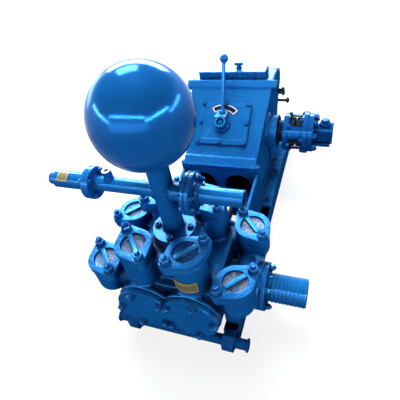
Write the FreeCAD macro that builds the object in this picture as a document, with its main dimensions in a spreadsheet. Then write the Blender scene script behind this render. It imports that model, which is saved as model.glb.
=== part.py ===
"""Piston mud pump: a duplex double-acting pump, its gearbox and its drive on a steel skid.

The origin lies on the ground under the air chamber's post. X runs to the suction hose side,
Y runs back from the valve end to the gearbox, and Z is up. Every length is in millimetres.
"""
import FreeCAD
import Part
import Sketcher

import os
import re

SIZES = {
    # skid
    "rail_spacing": 434,
    "rail_width": 62,
    "rail_height": 90,
    "rail_wall": 6,
    "rail_ahead": 150,
    "rail_margin": 50,
    "cross_depth": 70,
    "cross_height": 60,
    "tow_radius": 22.5,
    "tow_wall": 5,
    "tow_half": 300,
    "tow_reach": 30,
    "tow_rise": 62,
    "tow_ring_radius": 29,
    "tow_ring_width": 8,
    "lug_radius": 42,
    "lug_width": 50,
    "lug_neck": 59,
    # pump cylinders and their heads
    "cylinder_spacing": 188,
    "cylinder_rise": 276,
    "cylinder_radius": 104,
    "cylinder_half": 210,
    "flange_radius": 121,
    "flange_thick": 20,
    "head_radius": 117,
    "head_thick": 22,
    "block_half_width": 190,
    "block_half_depth": 172,
    "block_low": 165,
    "block_high": 384,
    "foot_depth": 120,
    "foot_lap": 60,
    # valve pots
    "pot_spacing_y": 272,
    "discharge_spacing": 204,
    "discharge_top": 573,
    "suction_spacing": 533,
    "suction_top": 449,
    "suction_pot_low": 288,
    "pot_radius": 66,
    "pot_round": 34,
    "stud_reach": 76.5,
    "stud_angle": 47.6,
    "lobe_radius": 25,
    "cover_radius": 70,
    "cover_thick": 25,
    "recess_radius": 47,
    "recess_depth": 12,
    "bar_width": 17,
    "bar_rise": 3,
    "bar_gap": 2,
    "collar_depth": 26,
    "collar_step": 4,
    # air chamber and its post
    "manifold_radius": 88,
    "manifold_top": 521,
    "manifold_flat": 30,
    "post_flange_radius": 84,
    "post_flange_thick": 16,
    "post_radius": 40,
    "neck_radius": 50,
    "neck_height": 42,
    "chamber_radius": 163,
    "chamber_gap": 127,
    "chamber_wall": 8,
    # discharge side arm
    "arm_rise": 720,
    "branch_radius": 33,
    "arm_flange_radius": 76,
    "arm_flange_thick": 15,
    "joint_face": 2,
    "joint_step": 12,
    "arm_flange_at": 90,
    "discharge_radius": 30,
    "discharge_wall": 6,
    "discharge_end": 288,
    "collar_radius": 37,
    "collar_width": 10,
    # relief valve side arm
    "relief_pipe_radius": 28,
    "relief_sink": 12,
    "relief_flange_radius": 62,
    "relief_flange_thick": 15,
    "relief_flange_at": 273,
    "relief_body_radius": 33,
    "relief_collar_radius": 39,
    "relief_collar_width": 14,
    "relief_body_end": 452,
    "relief_cap_radius": 24,
    "relief_cap_length": 26,
    "gauge_at": 210,
    "gauge_radius": 17,
    "gauge_rise": 66,
    "gauge_bore": 8,
    # suction side
    "suction_rise": 241,
    "suction_web_radius": 52.8,
    "suction_neck_radius": 80,
    "suction_face": 330,
    "suction_flange_radius": 98,
    "suction_flange_thick": 20,
    "hose_radius": 56,
    "hose_bore": 48,
    "hose_end": 503,
    "hose_ridges": 9,
    "ridge_rise": 3,
    "ridge_share": 0.8,
    # piston rods and crossheads
    "rod_radius": 22,
    "rod_fit": 0.05,
    "gland_radius": 46,
    "gland_length": 40,
    "gland_sleeve_radius": 34.5,
    "gland_flange_thick": 16,
    "gland_grip": 130,
    "crosshead_length": 90,
    "slinger_radius": 44,
    "slinger_width": 12,
    "stroke": 110,
    "rod_overlap": 10,
    "rod_root": 5,
    "crosshead_gap": 20,
    "slinger_gap": 40,
    # side plates between the pump end and the gearbox
    "tie_thick": 14,
    "tie_half_height": 52,
    "tie_gearbox_rise": 83.2,
    "tie_foot_reach": 104,
    "tie_bend_reach": 156,
    # gearbox casing
    "window_face": 545,
    "window_radius": 70,
    "window_rim": 78,
    "window_rim_rise": 6,
    "guide_length": 250,
    "ledge_rise": 404,
    "ledge_reach": 14,
    "ledge_thick": 16,
    "ledge_half_width": 186,
    "face_angle": 38,
    "face_length": 443,
    "crown_half_width": 215,
    "casing_low": 110,
    "casing_low_half_width": 172,
    "casing_back": 1185,
    "band_half_width": 236,
    "band_height": 44,
    "band_rise": 9,
    "band_depth": 30,
    "sill_height": 38,
    "casing_round": 190,
    "casing_flange_reach": 206,
    "casing_flange_thick": 20,
    "casing_foot_thick": 20,
    "casing_foot_reach": 246,
    "casing_foot_start": 40,
    "lid_thick": 40,
    "lid_half_width": 176,
    "lid_margin": 8,
    "plug_radius": 14,
    "plug_rise": 22,
    "plug_bar_radius": 8,
    "plug_bar_half": 22,
    "plug_side": 32,
    # gear shift on the sloping face
    "plate_ahead": 5,
    "plate_above": 7,
    "plate_up": 220,
    "plate_width": 266,
    "plate_thick": 12,
    "shift_side": -10,
    "shift_share": 0.456,
    "shift_boss_radius": 42,
    "shift_boss_rise": 14,
    "bracket_width": 60,
    "bracket_depth": 56,
    "slot_width": 26,
    "slot_depth": 36,
    "hub_radius": 28,
    "bracket_wall": 9,
    "hub_rise": 30,
    "pin_radius": 11,
    "pin_fit": 0.05,
    "pin_end": 5,
    "lever_lift": 24,
    "lever_foot": 38,
    "lever_radius": 8,
    "lever_length": 255,
    "knob_radius": 17,
    # input shaft and hydraulic drive
    "drive_back": 820,
    "drive_rise": 432,
    "boss_radius": 85,
    "boss_end": 253,
    "coupling_radius": 56,
    "adapter_at": 284,
    "adapter_thick": 22,
    "adapter_radius": 95,
    "bell_end": 380,
    "bell_radius": 88,
    "bell_wall": 10,
    "window_width": 74,
    "window_length": 60,
    "window_turn": 75,
    "motor_flange_radius": 100,
    "motor_flange_end": 428,
    "motor_length": 92,
    "motor_width": 62,
    "motor_height": 100,
    "motor_plate_thick": 14,
    "motor_plate_margin": 7,
    "motor_foot_drop": 12,
    "motor_foot_length": 82.8,
    "motor_foot_root": 8,
    "motor_notch_at": 55.2,
    "port_radius": 17,
    "port_rise": 26,
    "port_ahead": 6,
    "blind_boss_end": 226,
    "end_cover_radius": 80,
    "end_cover_thick": 18,
    "crank_pad_end": 192,
    "crank_back": 935,
    "crank_cover_radius": 95,
    "crank_pad_margin": 8,
}

# Places that several pieces share, worked out from the sizes above.
PLACES = {
    "rail_x": "rail_spacing / 2",
    "rail_inner": "rail_spacing / 2 - rail_width / 2",
    "rail_behind": "casing_back + rail_margin",
    "rail_length": "rail_ahead + rail_behind",
    "cylinder_x": "cylinder_spacing / 2",
    "pot_y": "pot_spacing_y / 2",
    "discharge_x": "discharge_spacing / 2",
    "suction_x": "suction_spacing / 2",
    "face_back": "face_length * cos(face_angle)",
    "face_up": "face_length * sin(face_angle)",
    "crown_y": "window_face + face_back",
    "crown_rise": "ledge_rise + face_up",
    "casing_top_back": "casing_back - casing_round",
    "discharge_seat": "discharge_top - cover_thick",
    "suction_seat": "suction_top - cover_thick",
    "post_foot": "manifold_top",
    "chamber_rise": "arm_rise + chamber_gap + chamber_radius",
    "chamber_foot": "chamber_rise - sqrt(chamber_radius ^ 2 - neck_radius ^ 2)",
    "second_flange": "arm_flange_at + arm_flange_thick",
    "relief_face": "relief_flange_at + relief_flange_thick",
    "shift_up": "face_length * shift_share",
    "shift_seat": "plate_thick + shift_boss_rise",
    "hub_face": "shift_seat + hub_rise",
    "bracket_top": "hub_radius - bracket_wall / 2",
    "bar_lean": "sqrt(1 - ((cover_radius - lobe_radius) / stud_reach) ^ 2)",
}

DOC = FreeCAD.newDocument("MudPump")
SHEET = DOC.addObject("Spreadsheet::Sheet", "Sizes")
for row, (alias, value) in enumerate(SIZES.items(), 1):
    SHEET.set(f"A{row}", str(value))
    SHEET.setAlias(f"A{row}", alias)
DOC.recompute()

UP = FreeCAD.Rotation()
RIGHT = FreeCAD.Rotation(FreeCAD.Vector(0, 1, 0), 90)
LEFT = FreeCAD.Rotation(FreeCAD.Vector(0, 1, 0), -90)
BACK = FreeCAD.Rotation(FreeCAD.Vector(1, 0, 0), -90)
PARTS = []


def sized(formula):
    """Writes a formula over size and place names as one over the sheet's cells."""
    def swap(match):
        word = match.group()
        if word in PLACES:
            return f"({sized(PLACES[word])})"
        return f"Sizes.{word}" if word in SIZES else word
    return re.sub(r"[a-z]\w*", swap, str(formula))


def place(solid, where=(0, 0, 0), turn=UP):
    """Puts a solid's own origin at a point given as three formulas."""
    solid.Placement = FreeCAD.Placement(FreeCAD.Vector(), turn)
    for axis, formula in zip("xyz", where):
        solid.setExpression(f"Placement.Base.{axis}", sized(formula))
    return solid


def make(kind, where, turn, **formulas):
    """Adds a primitive whose properties follow formulas."""
    solid = DOC.addObject(f"Part::{kind}", kind)
    for name, formula in formulas.items():
        solid.setExpression(name, sized(formula))
    return place(solid, where, turn)


def box(length, width, height, where):
    """A box with its low corner at a point."""
    return make("Box", where, UP, Length=length, Width=width, Height=height)


def rod(radius, length, where, turn=UP):
    """A cylinder that starts at a point and runs along the turned Z."""
    return make("Cylinder", where, turn, Radius=radius, Height=length)


def cone(radius, end_radius, length, where, turn=UP):
    """A cone that starts at a point and runs along the turned Z."""
    return make("Cone", where, turn, Radius1=radius, Radius2=end_radius, Height=length)


def ball(radius, where):
    """A sphere about a point."""
    return make("Sphere", where, UP, Radius=radius)


def join(*solids):
    """One solid from several that meet."""
    whole = DOC.addObject("Part::MultiFuse", "Join")
    whole.Shapes = list(solids)
    whole.Refine = True
    return whole


def take(base, *tools):
    """A solid with others cut away."""
    rest = DOC.addObject("Part::Cut", "Rest")
    rest.Base = base
    rest.Tool = tools[0] if len(tools) == 1 else join(*tools)
    return rest


def shared(first, second):
    """The space that two solids share."""
    common = DOC.addObject("Part::Common", "Shared")
    common.Base = first
    common.Tool = second
    return common


def finish(label, solid, where=None, turn=UP):
    """Names a finished piece and puts one that was drawn about its own origin in its place."""
    solid.Label = label
    if where is not None:
        place(solid, where, turn)
    PARTS.append(solid)
    return solid


def profile(plane, corners, start, length, about=None):
    """A solid from an outline: raised from its plane, or turned about one of its axes.

    The corners are pairs of formulas. Each is held by its two distances from the axes.
    """
    body = DOC.addObject("PartDesign::Body", "Profile")
    sketch = body.newObject("Sketcher::SketchObject", "Outline")
    origin = next(item for item in body.Origin.OriginFeatures if item.Role == f"{plane}_Plane")
    sketch.AttachmentSupport = (origin, [""])
    sketch.MapMode = "FlatFace"
    values = [[body.evalExpression(sized(part)) for part in corner] for corner in corners]
    points = [FreeCAD.Vector(*[float(value) for value in pair], 0) for pair in values]
    count = len(points)
    for index in range(count):
        sketch.addGeometry(Part.LineSegment(points[index], points[(index + 1) % count]))
    for index in range(count):
        sketch.addConstraint(Sketcher.Constraint("Coincident", index, 2, (index + 1) % count, 1))
    for index, corner in enumerate(corners):
        for kind, formula, value in zip(("DistanceX", "DistanceY"), corner, points[index]):
            held = sketch.addConstraint(Sketcher.Constraint(kind, -1, 1, index, 1, value))
            sketch.setExpression(f"Constraints[{held}]", sized(formula))
    if about:
        solid = body.newObject("PartDesign::Revolution", "Turned")
        solid.ReferenceAxis = (sketch, [about])
    else:
        solid = body.newObject("PartDesign::Pad", "Raised")
        solid.setExpression("Length", sized(length))
    solid.Profile = sketch
    return place(body, start)


def size(name):
    """A size as the sheet holds it."""
    return float(SHEET.get(name))


def rounded(base, radius, wanted):
    """Rounds the edges of a solid that a test picks by their middle and direction."""
    DOC.recompute()
    soft = DOC.addObject("Part::Fillet", "Rounded")
    soft.Base = base
    picked = [
        number for number, edge in enumerate(base.Shape.Edges, 1)
        if wanted(edge)
    ]
    soft.Edges = [(number, radius, radius) for number in picked]
    return soft


def make_rail(side, sign):
    """An upward channel with its end plates and the lugs that carry the tow bars."""
    outer = box("rail_width", "rail_length", "rail_height", ("-rail_width / 2", "-rail_ahead", 0))
    inner = box(
        "rail_width - 2 * rail_wall", "rail_length - 2 * rail_wall", "rail_height",
        ("rail_wall - rail_width / 2", "rail_wall - rail_ahead", "rail_wall"),
    )
    lugs = []
    for end, forward in (("-rail_ahead - tow_reach", 1), ("rail_behind + tow_reach", -1)):
        start = ("-lug_width / 2", end, "tow_rise")
        hexagon = make(
            "Prism", start, RIGHT, Circumradius="lug_radius", Height="lug_width",
        )
        neck_at = f"{end} - {0 if forward > 0 else 1} * (tow_reach + 1)"
        neck = box(
            "lug_width", "tow_reach + 1", "lug_neck",
            ("-lug_width / 2", neck_at, "tow_rise - lug_neck / 2"),
        )
        hole = rod("tow_radius", "rail_width", ("-rail_width / 2", end, "tow_rise"), RIGHT)
        clear = box(
            "rail_width", "tow_reach * 4", "rail_height",
            ("-rail_width / 2", f"{end} + {'tow_reach' if forward > 0 else '-tow_reach * 5'}", 0),
        )
        lugs.append(take(join(hexagon, neck), hole, clear))
    rail = join(take(outer, inner), *lugs)
    finish(f"skid_rail_{side}", rail, (f"{sign} * rail_x", 0, 0))


def make_cross_member(label, y):
    """A square tube welded between the rails."""
    outer = box(
        "2 * rail_inner", "cross_depth", "cross_height",
        ("-rail_inner", "-cross_depth / 2", 0),
    )
    inner = box(
        "2 * rail_inner", "cross_depth - 2 * rail_wall", "cross_height - 2 * rail_wall",
        ("-rail_inner", "rail_wall - cross_depth / 2", "rail_wall"),
    )
    finish(label, take(outer, inner), (0, y, 0))


def make_tow_bar(label, y):
    """A pipe across the skid's end with a raised ring at each end."""
    pipe = rod("tow_radius", "2 * tow_half", ("-tow_half", 0, 0), RIGHT)
    rings = [
        rod("tow_ring_radius", "tow_ring_width", (start, 0, 0), RIGHT)
        for start in ("-tow_half", "tow_half - tow_ring_width")
    ]
    bore = rod("tow_radius - tow_wall", "2 * tow_half", ("-tow_half", 0, 0), RIGHT)
    finish(label, take(join(pipe, *rings), bore), (0, y, "tow_rise"))


def lobed_plate(thick, inset):
    """A round plate with a lobe for a stud on each side, drawn about its own centre along X."""
    centre = rod(f"cover_radius - {inset}", thick, (0, 0, 0))
    lobes = [
        rod(f"lobe_radius - {inset}", thick, (f"{sign} * stud_reach", 0, 0)) for sign in (-1, 1)
    ]
    slope = "((cover_radius - lobe_radius) / stud_reach)"
    wide = f"(cover_radius - {inset})"
    narrow = f"(lobe_radius - {inset})"
    corners = []
    for along, across in ((1, 1), (-1, 1), (-1, -1), (1, -1)):
        near = (f"{along} * {wide} * {slope}", f"{across} * {wide} * bar_lean")
        far = (
            f"{along} * (stud_reach + {narrow} * {slope})",
            f"{across} * {narrow} * bar_lean",
        )
        corners += [far, near] if along * across > 0 else [near, far]
    web = profile("XY", corners, (0, 0, 0), thick)
    return join(centre, web, *lobes)


def turned_about_post(right, back):
    """The turn that lays a pot's stud line along the block's rim."""
    angle = size("stud_angle") * (-1 if right * back > 0 else 1)
    return FreeCAD.Rotation(FreeCAD.Vector(0, 0, 1), angle)


def make_valve_cover(kind, right, back):
    """A pot's cover: a lobed plate with a round recess that a bar crosses."""
    plate = lobed_plate("cover_thick", 0)
    recess = rod("recess_radius", "recess_depth", (0, 0, "cover_thick - recess_depth"))
    bar = box(
        "2 * (recess_radius - bar_gap)", "bar_width", "recess_depth + bar_rise",
        ("bar_gap - recess_radius", "-bar_width / 2", "cover_thick - recess_depth"),
    )
    side = "right" if right > 0 else "left"
    end = "back" if back > 0 else "front"
    finish(
        f"{kind}_cover_{end}_{side}", join(take(plate, recess), bar),
        (f"{right} * {kind}_x", f"{back} * pot_y", f"{kind}_seat"), turned_about_post(right, back),
    )


def make_pot(kind, right, back):
    """A pot of the casting, with a lobed collar under its cover."""
    low = "block_high - foot_lap" if kind == "discharge" else "suction_pot_low"
    centre = (f"{right} * {kind}_x", f"{back} * pot_y")
    body = rod("pot_radius", f"{kind}_seat - ({low})", (*centre, low))
    collar = lobed_plate("collar_depth", "collar_step")
    place(
        collar, (*centre, f"{kind}_seat - collar_depth"), turned_about_post(right, back),
    )
    if kind == "suction":
        body = rounded(
            body, size("pot_round"),
            lambda edge: edge.BoundBox.ZMax < size("suction_pot_low") + 1,
        )
    return [body, collar]


def make_fluid_end():
    """The pump's casting: two cylinders, eight valve pots, and the passages that join them."""
    solids = [
        box(
            "2 * block_half_width", "2 * block_half_depth", "block_high - block_low",
            ("-block_half_width", "-block_half_depth", "block_low"),
        ),
        box(
            "2 * discharge_x", "pot_spacing_y", "manifold_top - manifold_flat - block_high",
            ("-discharge_x", "-pot_y", "block_high"),
        ),
        rod("manifold_radius", "manifold_top - block_high", (0, 0, "block_high")),
        rod(
            "suction_neck_radius", "2 * suction_face", ("-suction_face", 0, "suction_rise"),
            RIGHT,
        ),
    ]
    for sign in (-1, 1):
        centre = f"{sign} * cylinder_x"
        solids.append(
            rod(
                "cylinder_radius", "2 * cylinder_half",
                (centre, "-cylinder_half", "cylinder_rise"), BACK,
            )
        )
        solids.append(
            rod(
                "flange_radius", "flange_thick",
                (centre, "-cylinder_half", "cylinder_rise"), BACK,
            )
        )
        solids.append(
            rod(
                "flange_radius", "flange_thick",
                (centre, "cylinder_half - flange_thick", "cylinder_rise"), BACK,
            )
        )
        solids.append(
            rod(
                "suction_flange_radius", "suction_flange_thick",
                (f"{sign} * suction_face - {0 if sign < 0 else 1} * suction_flange_thick", 0,
                 "suction_rise"), RIGHT,
            )
        )
        for end in (-1, 1):
            solids += make_pot("discharge", sign, end)
            solids += make_pot("suction", sign, end)
            solids.append(
                box(
                    "suction_x - block_half_width", "pot_radius", "block_high - suction_pot_low",
                    (
                        "block_half_width" if sign > 0 else "-suction_x",
                        f"{end} * pot_y - pot_radius / 2", "suction_pot_low",
                    ),
                )
            )
            solids.append(
                box(
                    "rail_width", "foot_depth / 2", "block_low - rail_height + foot_lap",
                    (
                        f"{sign} * rail_x - rail_width / 2",
                        f"{end} * block_half_depth / 2 - foot_depth / 4", "rail_height",
                    ),
                )
            )
    for sign in (-1, 1):
        solids.append(
            rod(
                "suction_web_radius", "pot_spacing_y",
                (f"{sign} * suction_x", "-pot_y", "suction_pot_low"), BACK,
            )
        )
    casting = join(*solids)
    bores = []
    for sign in (-1, 1):
        bores.append(
            rod(
                "flange_radius + 1", "2 * head_thick",
                (f"{sign} * cylinder_x", "-cylinder_half - 2 * head_thick", "cylinder_rise"), BACK,
            )
        )
        bores.append(
            rod(
                "rod_radius + rod_fit", "gland_grip + 1",
                (f"{sign} * cylinder_x", "cylinder_half - gland_grip", "cylinder_rise"), BACK,
            )
        )
    finish("fluid_end_casting", take(casting, *bores))


def make_cylinder_head(side, sign):
    """A round head plate that closes the front of a cylinder, cut flat where the two meet."""
    disc = rod("head_radius", "head_thick", (0, 0, 0), BACK)
    flat = box(
        "head_radius", "head_thick * 2", "head_radius * 2",
        ("cylinder_x - 1" if sign < 0 else "1 - cylinder_x - head_radius",
         "-head_thick / 2", "-head_radius"),
    )
    finish(
        f"cylinder_head_{side}", take(disc, flat),
        (f"{sign} * cylinder_x", "-cylinder_half - head_thick", "cylinder_rise"),
    )


def make_gland(side, sign):
    """The packing gland round a piston rod, bolted to the back of the casting."""
    sleeve = rod("gland_sleeve_radius", "gland_length", (0, 0, 0), BACK)
    flange = rod("gland_radius", "gland_flange_thick", (0, 0, 0), BACK)
    bore = rod("rod_radius + rod_fit", "gland_length", (0, 0, 0), BACK)
    finish(
        f"rod_gland_{side}", take(join(sleeve, flange), bore),
        (f"{sign} * cylinder_x", "cylinder_half", "cylinder_rise"),
    )


def make_piston_rod(side, sign):
    """A piston rod with its oil slinger and the round crosshead in the gearbox guide."""
    start = "cylinder_half - stroke / 2 - rod_overlap"
    end = "window_face + stroke / 2 + crosshead_gap"
    shaft = rod("rod_radius", f"{end} - ({start}) + rod_root", (0, start, 0), BACK)
    slinger = rod(
        "slinger_radius", "slinger_width", (0, "window_face - stroke / 2 - slinger_gap", 0), BACK,
    )
    crosshead = rod("window_radius - rod_fit", "crosshead_length", (0, end, 0), BACK)
    finish(
        f"piston_rod_{side}", join(shaft, slinger, crosshead),
        (f"{sign} * cylinder_x", 0, "cylinder_rise"),
    )


def make_air_chamber():
    """The ball-shaped air chamber, hollow, with a short neck welded to the post."""
    skin = ball("chamber_radius", (0, 0, "chamber_rise"))
    room = ball("chamber_radius - chamber_wall", (0, 0, "chamber_rise"))
    finish("air_chamber", take(skin, room))


def make_post():
    """The post under the air chamber, with its foot flange and the two side branches."""
    column = rod(
        "post_radius", "chamber_foot - neck_height - post_foot", (0, 0, "post_foot"),
    )
    flange = rod("post_flange_radius", "post_flange_thick", (0, 0, "post_foot"))
    flare = cone(
        "post_radius", "neck_radius", "neck_height", (0, 0, "chamber_foot - neck_height"),
    )
    branch = rod("branch_radius", "arm_flange_at", (0, 0, "arm_rise"), RIGHT)
    face = join(
        rod(
            "arm_flange_radius", "arm_flange_thick - joint_face",
            ("arm_flange_at", 0, "arm_rise"), RIGHT,
        ),
        rod(
            "arm_flange_radius - joint_step", "arm_flange_thick",
            ("arm_flange_at", 0, "arm_rise"), RIGHT,
        ),
    )
    seat = ball("chamber_radius", (0, 0, "chamber_rise"))
    finish("air_chamber_post", take(join(column, flange, flare, branch, face), seat))


def make_discharge_pipe():
    """The flanged pipe that the discharge hose joins."""
    flange = rod("arm_flange_radius", "arm_flange_thick", (0, 0, 0), RIGHT)
    collar = rod("collar_radius", "collar_width + arm_flange_thick", (0, 0, 0), RIGHT)
    pipe = rod("discharge_radius", "discharge_end - second_flange", (0, 0, 0), RIGHT)
    bore = rod(
        "discharge_radius - discharge_wall", "discharge_end - second_flange", (0, 0, 0), RIGHT,
    )
    finish(
        "discharge_pipe", take(join(flange, collar, pipe), bore),
        ("second_flange", 0, "arm_rise"),
    )


def make_relief_branch():
    """The thin pipe to the relief valve, with its gauge socket and flange."""
    pipe = rod(
        "relief_pipe_radius", "relief_face - post_radius + relief_sink",
        ("-relief_face", 0, 0), RIGHT,
    )
    flange = rod(
        "relief_flange_radius", "relief_flange_thick", ("-relief_face", 0, 0), RIGHT,
    )
    socket = rod("gauge_radius", "gauge_rise", ("-gauge_at", 0, 0))
    bore = rod("gauge_bore", "gauge_rise", ("-gauge_at", 0, "gauge_rise / 2"))
    column = rod("post_radius", "4 * relief_pipe_radius", (0, 0, "-2 * relief_pipe_radius"))
    finish("relief_branch", take(join(pipe, flange, socket), bore, column), (0, 0, "arm_rise"))


def make_relief_valve():
    """The spring housing of the relief valve and its screwed end cap."""
    flange = rod("relief_flange_radius", "relief_flange_thick", (0, 0, 0), LEFT)
    collar = rod(
        "relief_collar_radius", "relief_flange_thick + relief_collar_width", (0, 0, 0), LEFT,
    )
    body = rod("relief_body_radius", "relief_body_end - relief_face", (0, 0, 0), LEFT)
    finish("relief_valve", join(flange, collar, body), ("-relief_face", 0, "arm_rise"))
    cap = rod("relief_cap_radius", "relief_cap_length", (0, 0, 0), LEFT)
    step = cone(
        "relief_body_radius", "relief_cap_radius", "relief_cap_length / 3", (0, 0, 0), LEFT,
    )
    finish("relief_valve_cap", join(cap, step), ("-relief_body_end", 0, "arm_rise"))


def make_suction_side():
    """The ridged hose nozzle on the right and the blank cover on the left."""
    flange = rod("suction_flange_radius", "suction_flange_thick", (0, 0, 0), RIGHT)
    hose = "(hose_end - suction_face)"
    barrel = rod("hose_radius", hose, (0, 0, 0), RIGHT)
    ridges = []
    for index in range(int(size("hose_ridges"))):
        pitch = f"(({hose} - 2 * suction_flange_thick) / hose_ridges)"
        ridges.append(
            cone(
                "hose_radius + ridge_rise", "hose_radius", f"{pitch} * ridge_share",
                (f"{hose} - {index + 1} * {pitch}", 0, 0), RIGHT,
            )
        )
    bore = rod("hose_bore", f"{hose} + 2", (-1, 0, 0), RIGHT)
    finish(
        "suction_nozzle", take(join(flange, barrel, *ridges), bore),
        ("suction_face", 0, "suction_rise"),
    )
    blank = rod(
        "suction_flange_radius", "suction_flange_thick",
        ("-suction_face", 0, "suction_rise"), LEFT,
    )
    finish("suction_blank_cover", blank)


def make_tie_plate(side, sign):
    """A plate on edge that ties the pump casting to the gearbox above a rail."""
    corners = [
        ("cylinder_half", "cylinder_rise - tie_half_height"),
        ("cylinder_half", "cylinder_rise + tie_half_height"),
        ("window_face", "cylinder_rise + tie_gearbox_rise"),
        ("window_face", "rail_height"),
        ("window_face - tie_foot_reach", "rail_height"),
        ("window_face - tie_bend_reach", "cylinder_rise - tie_half_height"),
    ]
    inner = "ledge_half_width" if sign > 0 else "-ledge_half_width - tie_thick"
    plate = profile("YZ", corners, (inner, 0, 0), "tie_thick")
    finish(f"tie_plate_{side}", plate)


def make_gearbox():
    """The gearbox casing, its sloping face, crosshead windows, feet and shaft boss."""
    side = [
        ("window_face", "casing_low"),
        ("window_face", "ledge_rise"),
        ("crown_y", "crown_rise"),
        ("casing_back", "crown_rise"),
        ("casing_back", "casing_low"),
    ]
    front = [
        ("-casing_low_half_width", "casing_low"),
        ("casing_low_half_width", "casing_low"),
        ("ledge_half_width", "ledge_rise"),
        ("crown_half_width", "crown_rise"),
        ("-crown_half_width", "crown_rise"),
        ("-ledge_half_width", "ledge_rise"),
    ]
    long = profile("YZ", side, ("-crown_half_width", 0, 0), "2 * crown_half_width")
    wide = profile("XZ", front, (0, "casing_back", 0), "casing_back - window_face")
    corner = box(
        "2 * band_half_width", "casing_round", "casing_round",
        ("-band_half_width", "casing_top_back", "crown_rise - casing_round"),
    )
    bend = rod(
        "casing_round", "2 * band_half_width",
        ("-band_half_width", "casing_top_back", "crown_rise - casing_round"), RIGHT,
    )
    casing = take(shared(long, wide), take(corner, bend))
    band = lean(
        box("2 * band_half_width", "band_height", "band_rise + band_depth", (0, 0, 0)),
        on_face("-band_half_width", "face_length - band_height", "-band_depth"), "face_angle",
    )
    sill = lean(
        box("2 * ledge_half_width", "sill_height", "band_rise + band_depth", (0, 0, 0)),
        on_face("-ledge_half_width", 0, "-band_depth"), "face_angle",
    )
    foot = box(
        "2 * casing_foot_reach", "casing_back - window_face - casing_foot_start",
        "casing_foot_thick",
        ("-casing_foot_reach", "window_face + casing_foot_start", "rail_height"),
    )
    flange = box(
        "2 * casing_flange_reach", "casing_flange_thick", "ledge_rise - casing_low",
        ("-casing_flange_reach", "window_face", "casing_low"),
    )
    ledge = box(
        "2 * ledge_half_width", "ledge_reach * 2", "ledge_thick",
        ("-ledge_half_width", "window_face - ledge_reach", "ledge_rise - ledge_thick"),
    )
    boss = rod(
        "boss_radius", "boss_end - casing_low_half_width",
        ("casing_low_half_width", "drive_back", "drive_rise"), RIGHT,
    )
    blind_boss = rod(
        "boss_radius", "blind_boss_end - casing_low_half_width",
        ("-casing_low_half_width", "drive_back", "drive_rise"), LEFT,
    )
    pads = rod(
        "crank_cover_radius + crank_pad_margin", "2 * crank_pad_end",
        ("-crank_pad_end", "crank_back", "cylinder_rise"), RIGHT,
    )
    rims = []
    guides = []
    for sign in (-1, 1):
        centre = f"{sign} * cylinder_x"
        rims.append(
            rod(
                "window_rim", "window_rim_rise + 1",
                (centre, "window_face - window_rim_rise", "cylinder_rise"), BACK,
            )
        )
        guides.append(
            rod(
                "window_radius", "guide_length + window_rim_rise + 1",
                (centre, "window_face - window_rim_rise - 1", "cylinder_rise"), BACK,
            )
        )
    casing = join(casing, band, sill, flange, foot, ledge, boss, blind_boss, pads, *rims)
    finish("gearbox_casing", take(casing, *guides))


def on_face(along, up, out=0):
    """A point over the sloping face, from its length up the slope and its height off the face."""
    back = f"window_face + ({up}) * cos(face_angle) - ({out}) * sin(face_angle)"
    rise = f"ledge_rise + ({up}) * sin(face_angle) + ({out}) * cos(face_angle)"
    return (along, back, rise)


def lean(solid, where, angle):
    """Puts a solid at a point, turned back about X by an angle given as a formula."""
    place(solid, where, FreeCAD.Rotation(FreeCAD.Vector(1, 0, 0), 30))
    solid.setExpression("Placement.Rotation.Angle", sized(angle))
    return solid


def tilt(solid, along, up):
    """Lays a piece that was drawn flat on the sloping face."""
    return lean(solid, on_face(along, up), "face_angle")


def make_inspection_cover():
    """The bolted plate on the sloping face, drawn flat about the shift's centre."""
    plate = box(
        "plate_width", "plate_up", "plate_thick",
        ("plate_ahead - plate_width / 2", "plate_above - plate_up / 2", 0),
    )
    boss = rod("shift_boss_radius", "shift_seat", (0, 0, 0))
    pin = rod("pin_radius", "hub_face + pin_end", (0, 0, 0))
    finish("inspection_cover", tilt(join(plate, boss, pin), "shift_side", "shift_up"))


def make_shift():
    """The hub that turns on the cover's pin with its level fork, and the lever that it grips.

    Both are drawn flat: Y runs up the slope and Z away from it.
    """
    hub = rod("hub_radius", "hub_rise", (0, 0, "shift_seat"))
    fork = profile(
        "YZ", level_strip(0, "bracket_depth"), ("-bracket_width / 2", 0, 0), "bracket_width",
    )
    between = ("YZ", level_strip("bracket_depth - slot_depth", "bracket_depth"))
    slot = profile(*between, ("-slot_width / 2", 0, 0), "slot_width")
    hole = rod("pin_radius + pin_fit", "hub_rise + 2", (0, 0, "shift_seat - 1"))
    finish("shift_bracket", tilt(take(join(hub, fork), slot, hole), "shift_side", "shift_up"))
    tongue = profile(*between, ("-slot_width / 2", 0, 0), "slot_width")
    up = "bracket_top + lever_foot * cos(face_angle)"
    out = "hub_face - lever_foot * sin(face_angle)"
    arm = lean(rod("lever_radius", "lever_length", (0, 0, 0)), (0, up, out), "lever_lift - 90")
    knob = ball(
        "knob_radius",
        (0, f"{up} + lever_length * cos(lever_lift)", f"{out} + lever_length * sin(lever_lift)"),
    )
    finish("shift_lever", tilt(join(tongue, arm, knob), "shift_side", "shift_up"))


def level_strip(start, end):
    """The corners, on the tilted side view, of a level strip that runs in from the hub's end."""
    corners = []
    for reach, drop in ((start, 0), (end, 0), (end, "bracket_wall"), (start, "bracket_wall")):
        corners.append((
            f"bracket_top + ({reach}) * cos(face_angle) - ({drop}) * sin(face_angle)",
            f"hub_face - ({reach}) * sin(face_angle) - ({drop}) * cos(face_angle)",
        ))
    return corners


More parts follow.
